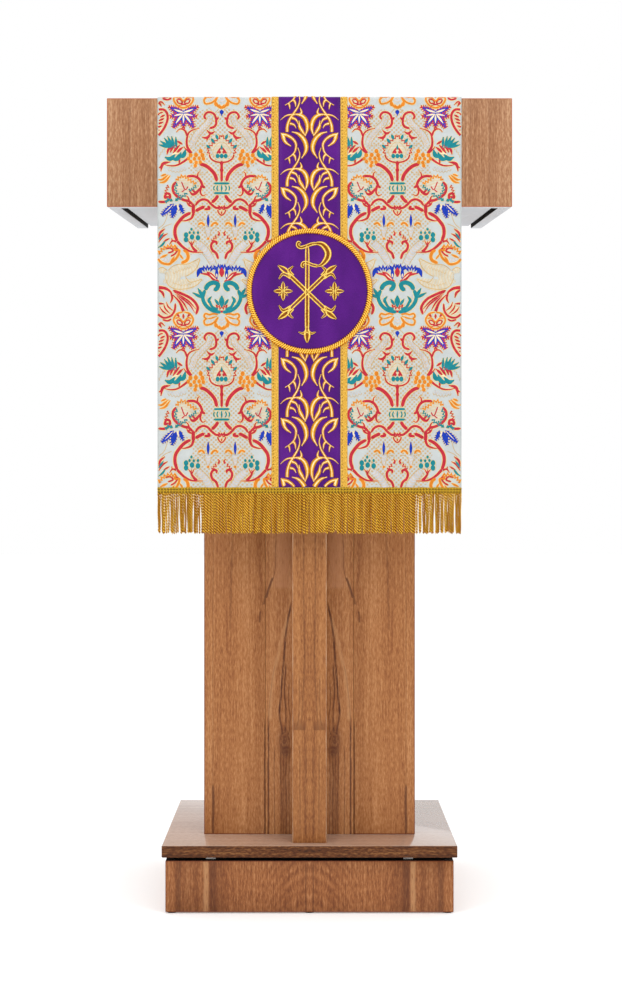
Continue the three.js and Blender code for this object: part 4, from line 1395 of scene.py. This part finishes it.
# ------------------------------------------------------------------ the medallion
ROPE_WIDTH = 9.4 * MM
ROPE_TURNS = 82
ROPE_STRANDS = 2
ROPE_STRAND = ROPE_WIDTH * 0.27  # a strand's radius
ROPE_LIFT, ROPE_SWING = 2.7 * MM, 1.25 * MM  # the strands' mean height, and how far they rise and fall
EMBLEM_LIFT = 2.85 * MM


def circle(count):
    """Angles spread evenly round a circle."""
    return np.linspace(0, 2 * math.pi, count + 1)[:-1]


def on_medallion(radius, angle, lift):
    return drape.at(radius * np.cos(angle), MEDALLION_S + radius * np.sin(angle), lift)


def make_disc():
    """The satin disc: a soft pad under it lifts its middle, and a few soft folds cross it."""
    rings = np.concatenate([[0.5 * MM], np.linspace(5 * MM, MEDALLION_RADIUS + 1.5 * MM, 22)])
    radius, angle = np.meshgrid(rings, circle(96), indexing="ij")
    x, s = radius * np.cos(angle), radius * np.sin(angle)
    folds = 0.22 * MM * np.sin(2 * math.pi * (x / 0.041 + 0.35 * s / 0.06)) * smooth_step(radius, 0, 0.05)
    high = DISC_LIFT[1] + folds + 0.35 * MM * (1 - (radius / MEDALLION_RADIUS) ** 2)
    low = np.full_like(high, DISC_LIFT[0] - 1.4 * MM)
    points = np.stack([on_medallion(radius, angle, high), on_medallion(radius, angle, low)])
    rows, columns = radius.shape
    count = rows * columns
    faces = grid_faces(rows, columns, around=True) + grid_faces(rows, columns, count, True, True)
    faces += [list(range(columns))[::-1], list(range(count, count + columns))]
    last = np.arange(columns) + (rows - 1) * columns
    after = np.roll(last, -1)
    faces += np.stack([last, after, after + count, last + count], axis=-1).tolist()
    uv = np.tile(np.stack([x + 0.3, s], axis=-1).reshape(-1, 2), (2, 1))
    faces = [face[::-1] for face in faces]
    ride_cover(new_piece("medallion_satin", points, faces, uv, satin()), "purple_satin", "medallion_ground")


def make_rope():
    """Gold strands twisted round each other, sewn down round the disc."""
    # A painted highlight on each strand's top, and painted shade on its sides and underside.
    tones = (linear(196, 104, 0), linear(255, 188, 4), linear(255, 255, 150))
    gold = metal_thread("rope_gold", tones, 0.0007, 0.6, 0.4, 0.15, crest=0.5, reach=0.42)
    middle = MEDALLION_RADIUS + ROPE_WIDTH / 2
    turn, around = circle(ROPE_TURNS * 9), circle(8)
    places, uvs, faces = [], [], []
    for k in range(ROPE_STRANDS):
        twist = ROPE_TURNS * turn + k * 2 * math.pi / ROPE_STRANDS
        radius = middle + (ROPE_WIDTH / 2 - ROPE_STRAND) * np.cos(twist)
        lift = ROPE_LIFT + ROPE_SWING * np.sin(twist)
        r = radius[:, None] + ROPE_STRAND * np.cos(around)[None, :]
        h = lift[:, None] + ROPE_STRAND * 0.8 * np.sin(around)[None, :]
        places.append(on_medallion(r, turn[:, None] + 0 * r, h).reshape(-1, 3))
        length = np.broadcast_to((turn * middle)[:, None], r.shape)
        # The side runs from 0 to 1 over the strand, and is 0.5 on its top, where the gold gets its painted
        # highlight.
        side = np.broadcast_to(np.where(around > math.pi, 0.0, around / math.pi)[None, :], r.shape)
        uvs.append(np.stack([length, side], axis=-1).reshape(-1, 2))
        start = k * r.size
        rows, columns = r.shape
        ring = np.arange(rows)[:, None] * columns
        after = (np.arange(rows)[:, None] + 1) % rows * columns
        here, there = np.arange(columns)[None, :], (np.arange(columns)[None, :] + 1) % columns
        quads = np.stack([ring + here, after + here, after + there, ring + there], axis=-1)
        faces += (quads.reshape(-1, 4) + start).tolist()
    piece = new_piece("medallion_cord", np.concatenate(places), faces, np.concatenate(uvs), gold)
    ride_cover(piece, "gold_braid", "medallion_rope")


def emblem():
    """A staff with a bow at its top over a saltire with flowered ends, and a crosslet at each side."""
    d = Drawing(step=1.0)
    gold = "emblem"
    d.stroke(gold, 3.9, even, (-3.4, 68), (-3.2, 30), (-3.6, -30), (-3.6, -62))
    d.stroke(gold, 5.6, leaf, (-3.5, -52), (-3.5, -64), (-3.5, -76.5))
    for sign in (-1, 1):
        d.stroke(gold, 3.0, tail, (-3.5, -59), (-3.5 + sign * 6, -62.5), (-3.5 + sign * 13, -60.5))
    # The bow: a curl, a level top, a full right side and a smaller curl at its foot.
    curl = (-12.5, 70), (-16.5, 72), (-17.5, 67.5), (-13, 64.5), (-5, 66.5), (3, 69.5), (11, 70.5)
    d.stroke(gold, 2.9, even, *curl)
    d.stroke(gold, 5.8, leaf, (4, 70.6), (18, 69.5), (26.5, 60), (26.5, 50), (19, 40), (10, 36.5))
    d.stroke(gold, 2.9, even, (13, 37), (5, 38.5), (-3, 41.5), (-9, 41.8), (-10.8, 37.5), (-7.5, 35.6))
    # The saltire, each end a leaf between two hooks.
    for sx in (-1, 1):
        for sy in (-1, 1):

            def arm(x, y):
                return -3.2 + sx * x, -1.6 + sy * y

            d.stroke(gold, 3.8, even, arm(0, 0), arm(14, 13.5), arm(28, 27))
            d.stroke(gold, 5.0, leaf, arm(25, 25.5), arm(34, 33), arm(43, 39.5))
            d.stroke(gold, 4.2, tail, arm(24, 22.5), arm(35.5, 27), arm(42, 19.5))
            d.stroke(gold, 4.2, tail, arm(22.5, 24), arm(27, 32), arm(21, 38.5))
    # The crosslets: four small leaves round a berry.
    for x in (-39, 37):
        d.fan(gold, 3.7, leaf, x, 0, [(angle, 14) for angle in (0, 90, 180, 270)])
        d.fan(gold, 1.9, leaf, x, 0, [(angle, 10) for angle in (45, 135, 225, 315)])
        d.dot(gold, 3.4, x, 0)
    return d


def make_emblem():
    # Each stroke gets painted highlights along its two ridges and painted shade in the groove between them
    # and at its edges.
    tones = (linear(116, 54, 0), linear(222, 158, 16), linear(255, 250, 150))
    gold = metal_thread("emblem_thread", tones, 0.0008, 0.3, crest=0.62, reach=0.5)
    threads = {"emblem": Threads(EMBLEM_LIFT, 1.2 * MM, Threads.DOUBLE)}
    lay(emblem(), threads, 0, MEDALLION_S / MM)
    ride_cover(threads["emblem"].piece("emblem_embroidery", gold), "gold_thread", "emblem")


# ------------------------------------------------------------------ the fringe
HEADER_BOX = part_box("fringe_header_front")
HEADER_HEIGHT = HEADER_BOX[1].z - HEADER_BOX[0].z
HEADER_START = HEADER_BOX[0].z - drape.hem
FRINGE_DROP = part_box("fringe_front")[1].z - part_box("fringe_front")[0].z + 3.5 * MM
STRANDS = 168
STRAND_RADIUS = 1.26 * MM
STRAND_MARGIN = 1.2 * MM
STRAND_LIFT = 1.75 * MM
TUCK = 1.6 * MM  # how far above the braid's lower edge the strands start
STRAND_RINGS = 54
STRAND_SIDES = 8
TWIST_PITCH = 8.6 * MM
STRANDS_TOGETHER = 5  # neighbours whose twists line up
# Where the strands part: wide slits near the two edges, and narrow seams between them.
SLITS = np.array([-209.5, -193, -181, -160, 160, 167, 185, 202, 215]) * MM
SEAMS = np.array([-137, -122, -107, -89, -73, -56, -37, -21, 3, 20, 38, 55, 71, 97, 118, 139]) * MM


def bullion_gold():
    """Twisted bullion in yellow gold, with painted shade in dark brown along its grooves and painted
    highlights on its plies.
    """
    shader = Shader("fringe_gold", Specular_IOR_Level=0.08)
    u, v, _ = shader.split(shader.uv())
    # ply is 1 on the crest of each ply and 0 in the grooves: it paints highlights and shade onto the twist.
    ply = shader.wave(v, kind="COSINE") * 0.5 + 0.5
    fine = shader.wave(u * (1 / 0.0011) + v) * 0.5 + 0.5
    mottle = shader.noise(shader.place(), scale=330, detail=3)
    # Each strand has its own shade.
    strand = shader.noise(shader.scaled(shader.place(), 420, 1, 9), detail=1)
    tone = (strand - 0.5) * 0.55 + (ply * 0.62 + fine * 0.1 + mottle * 0.3)
    tones = (linear(74, 18, 0), linear(150, 76, 0), linear(208, 140, 4), linear(252, 210, 80))
    shader.colour(shader.ramp(tone, *zip((0.28, 0.48, 0.62, 0.82), tones)))
    shader.roughness(mottle * 0.25 + 0.3)
    shader.bump(fine, 0.0001)
    return shader.material


def header_gold():
    """The fringe's braid: yellow gold with rows of dark specks."""
    shader = Shader("header_gold", Metallic=0.1)
    u, v, _ = shader.split(shader.uv())
    loops = shader.math("SINE", (u + v * 0.6) * 2600)
    fine = shader.noise(shader.scaled(shader.uv(), 1400, 1100, 1), detail=3, roughness=0.65)
    tones = (linear(130, 92, 4), linear(200, 156, 16), linear(244, 206, 56))
    colour = shader.ramp(loops * 0.1 + fine * 0.9, *zip((0.38, 0.5, 0.62), tones))
    specks = shader.between(abs(shader.wave(u, 0.0090) * shader.wave(v, 0.0082)), 0.35, 0.65)
    shader.colour(shader.mix(specks * 0.85, colour, linear(84, 58, 10)))
    shader.roughness(fine * 0.3 + 0.3)
    shader.bump(fine, 0.0004)
    return shader.material


def parting(start, places, push, reach):
    """How far a strand is pushed aside by the places where the strands part."""
    gap = start - places
    return push * np.sum(np.sign(gap) * np.exp(-np.abs(gap) / reach))


def make_fringe(end, hem, toward, material, header_material):
    """A fringe and the braid that holds it. hem is the cloth's end along s, and toward the way it hangs."""
    xs = np.linspace(-HALF_WIDTH, HALF_WIDTH, 451)
    rows = np.linspace(0, 1, 12)
    t, x = np.meshgrid(rows, xs, indexing="ij")
    relief = 0.26 * np.sin(2 * math.pi * (x / (3.1 * MM) + t * 1.3)) + 0.2 * np.sin(2 * math.pi * t * 3)
    crown = np.sqrt(np.clip(1 - (2 * t - 1) ** 8, 0.05, 1))
    away = HEADER_START + t * HEADER_HEIGHT + 0.25 * MM * np.sin(2 * math.pi * x / (23 * MM))
    s = hem - toward * away
    high = 0.75 * MM + 1.35 * MM * crown + relief * crown * MM
    name = f"fringe_braid_{end}"
    if toward > 0:
        t, x, s, high = (a[::-1] for a in (t, x, s, high))
    piece = strip(name, x, s, 0.5 * MM, high, header_material)
    ride_cover(piece, "gold_bullion", f"fringe_header_{end}")

    draw = np.random.default_rng(21 if toward < 0 else 22)
    starts = np.linspace(-HALF_WIDTH + STRAND_MARGIN, HALF_WIDTH - STRAND_MARGIN, STRANDS)
    fall = np.linspace(0, 1, STRAND_RINGS)
    angle = circle(STRAND_SIDES)
    places, uvs, faces = [], [], []
    shift = 0.0
    for index, start in enumerate(starts):
        part = parting(start, SLITS, 1.15 * MM, 4 * MM) + parting(start, SEAMS, 0.75 * MM, 3 * MM)
        sway = 0.5 * MM * math.sin(start * 160) + draw.normal(0, 0.62 * MM)
        if draw.random() < 1 / STRANDS_TOGETHER:
            shift = draw.uniform(0, 2 * math.pi)
        length = FRINGE_DROP * (1 - abs(draw.normal(0, 0.026)))
        wiggle = draw.uniform(0, 2 * math.pi)
        middle = start + (part + sway) * fall**0.9
        middle += 0.3 * MM * np.sin(fall * 9 + wiggle) * np.minimum(1, fall * 5)
        depth = STRAND_LIFT + 0.4 * MM * np.sin(fall * 5 + wiggle * 2) * fall + draw.normal(0, 0.3 * MM)
        twist = (length * fall - start) / TWIST_PITCH * 2 * math.pi + shift + draw.uniform(0, 0.9)
        radius = STRAND_RADIUS * draw.uniform(0.9, 1.06) * np.clip((1 - fall) * 30, 0.25, 1)
        radius *= 1 + 0.05 * np.sin(fall * 40 + wiggle)
        lobes = 1 + 0.34 * np.cos(2 * (angle[None, :] + twist[:, None]))
        wide = radius[:, None] * lobes
        px = middle[:, None] + wide * np.cos(angle)[None, :]
        ph = depth[:, None] + wide * np.sin(angle)[None, :]
        ps = hem + toward * (length * fall[:, None] - HEADER_START - TUCK) + 0 * px
        places.append(drape.at(px, ps, ph).reshape(-1, 3))
        lobe = np.broadcast_to((angle[None, :] + twist[:, None]) / math.pi, px.shape)
        along = np.broadcast_to((length * fall)[:, None], px.shape)
        uvs.append(np.stack([along, lobe], axis=-1).reshape(-1, 2))
        first = index * px.size
        faces += grid_faces(STRAND_RINGS, STRAND_SIDES, first, flip=toward > 0, around=True)
        upper = list(range(first, first + STRAND_SIDES))
        lower = [i + px.size - STRAND_SIDES for i in upper]
        faces += [upper, lower[::-1]] if toward > 0 else [upper[::-1], lower]
    strands = new_piece(f"fringe_strands_{end}", np.concatenate(places), faces, np.concatenate(uvs), material)
    ride_cover(strands, "gold_bullion", f"fringe_{end}")
    return [piece, strands]


# ------------------------------------------------------------------ stage
def add_stage():
    floor = bpy.data.meshes.new("floor")
    half = 12
    corners = [(-half, -half, 0), (half, -half, 0), (half, half, 0), (-half, half, 0)]
    floor.from_pydata(corners, [], [(0, 1, 2, 3)])
    white = {"Base_Color": (0.9, 0.9, 0.9, 1), "Emission_Color": (1, 1, 1, 1), "Emission_Strength": 0.2}
    shader = Shader("floor", Roughness=0.9, **white)
    floor.materials.append(shader.material)
    piece = bpy.data.objects.new("floor", floor)
    bpy.context.scene.collection.objects.link(piece)


def add_light(name, place, aim, size, power):
    light = bpy.data.lights.new(name, "AREA")
    light.shape = "RECTANGLE"
    light.size, light.size_y = size
    light.energy = power
    holder = bpy.data.objects.new(name, light)
    holder.location = place
    direction = np.array(aim, float) - np.array(place, float)
    holder.rotation_euler = (
        math.atan2(math.hypot(direction[0], direction[1]), -direction[2]),
        0,
        math.atan2(direction[1], direction[0]) - math.pi / 2,
    )
    bpy.context.scene.collection.objects.link(holder)


def add_lights():
    world = bpy.data.worlds.new("studio")
    world.use_nodes = True
    background = world.node_tree.nodes["Background"]
    background.inputs["Color"].default_value = (1, 1, 1, 1)
    background.inputs["Strength"].default_value = 1.0
    bpy.context.scene.world = world
    for sign in (-1, 1):
        name = "key_left" if sign < 0 else "key_right"
        add_light(name, (sign * 1.9, -1.9, 1.9), (0, 0, 0.75), (1.0, 1.6), 14)
    add_light("top", (0, -0.6, 2.9), (0, 0, 0.9), (1.6, 1.2), 10)
    bpy.context.scene.view_settings.view_transform = "Standard"


# ------------------------------------------------------------------ the object
add_camera()
add_stage()
add_lights()
dress_woodwork()
cloth = make_cloth()
make_brocade()
make_band()
make_braids()
make_disc()
make_rope()
make_emblem()
bullion, header = bullion_gold(), header_gold()
trims = make_fringe("front", 0, -1, bullion, header) + make_fringe("back", drape.end, 1, bullion, header)
